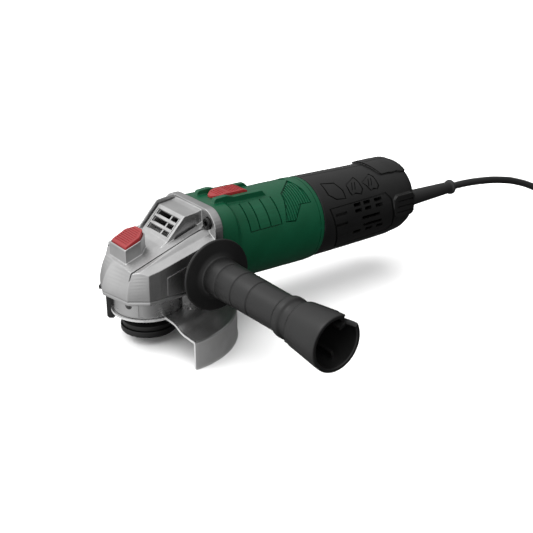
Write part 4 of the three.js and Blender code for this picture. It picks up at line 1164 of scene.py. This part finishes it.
# %% Floor
bpy.ops.mesh.primitive_plane_add(size=60.0, location=(0, 0, 0))
floor = bpy.context.object
floor.name = "floor"
paper = Finish("floor_paper", Roughness=0.9)
paper.feed("Base Color", paper.blend(paper.noise(300.0, 1.0), grey(0.86), grey(0.88)))
floor.data.materials.append(paper.material)
floor.visible_glossy = False
floor.visible_diffuse = False

# %% [markdown]
# ## Sky and lights
# Satin metal shows its shape by what it reflects, so the sky runs from bright above and in front
# to nearly dark behind and below.  A softbox adds the sheen, and a wide sun that lights only the
# floor gives soft shadows there.

# %% Sky
world = bpy.data.worlds.new("studio")
world.use_nodes = True
scene.world = world
nodes = world.node_tree.nodes
links = world.node_tree.links
where = nodes.new("ShaderNodeTexCoord")
towards = nodes.new("ShaderNodeVectorMath")
towards.operation = "DOT_PRODUCT"
towards.inputs[1].default_value = Vector((-0.7, 0.15, 0.7)).normalized()
links.new(where.outputs["Generated"], towards.inputs[0])
half = nodes.new("ShaderNodeMath")
half.operation = "MULTIPLY_ADD"
half.inputs[1].default_value = 0.5
half.inputs[2].default_value = 0.5
links.new(towards.outputs["Value"], half.inputs[0])
ramp = nodes.new("ShaderNodeValToRGB")
stops = ((0.12, 0.04), (0.42, 0.22), (0.66, 0.66), (0.95, 1.0))
for position, value in stops[1:-1]:
    ramp.color_ramp.elements.new(position)
for element, (position, value) in zip(ramp.color_ramp.elements, stops):
    element.position = position
    element.color = grey(value)
links.new(half.outputs[0], ramp.inputs[0])
links.new(ramp.outputs[0], nodes["Background"].inputs["Color"])
nodes["Background"].inputs["Strength"].default_value = 1.2
print("sky steps", stops)


# %% Lights
def softbox(name, place, size, power, aim=(0.0, 0.0, 0.06)):
    data = bpy.data.lights.new(name, "AREA")
    data.shape = "RECTANGLE"
    data.size, data.size_y = size
    data.energy = power
    box = bpy.data.objects.new(name, data)
    box.location = place
    box.rotation_euler = (Vector(place) - Vector(aim)).to_track_quat("Z", "Y").to_euler()
    scene.collection.objects.link(box)


softbox("key", (-0.9, 0.9, 1.9), (1.2, 1.2), 9)
sun = bpy.data.lights.new("high_sun", "SUN")
sun.energy = 4.2
sun.angle = math.radians(95)
sun_lamp = bpy.data.objects.new("high_sun", sun)
sun_lamp.rotation_euler = (math.radians(-12), math.radians(-14), 0)
scene.collection.objects.link(sun_lamp)
floor_only = bpy.data.collections.new("floor only")
floor_only.objects.link(floor)
sun_lamp.light_linking.receiver_collection = floor_only
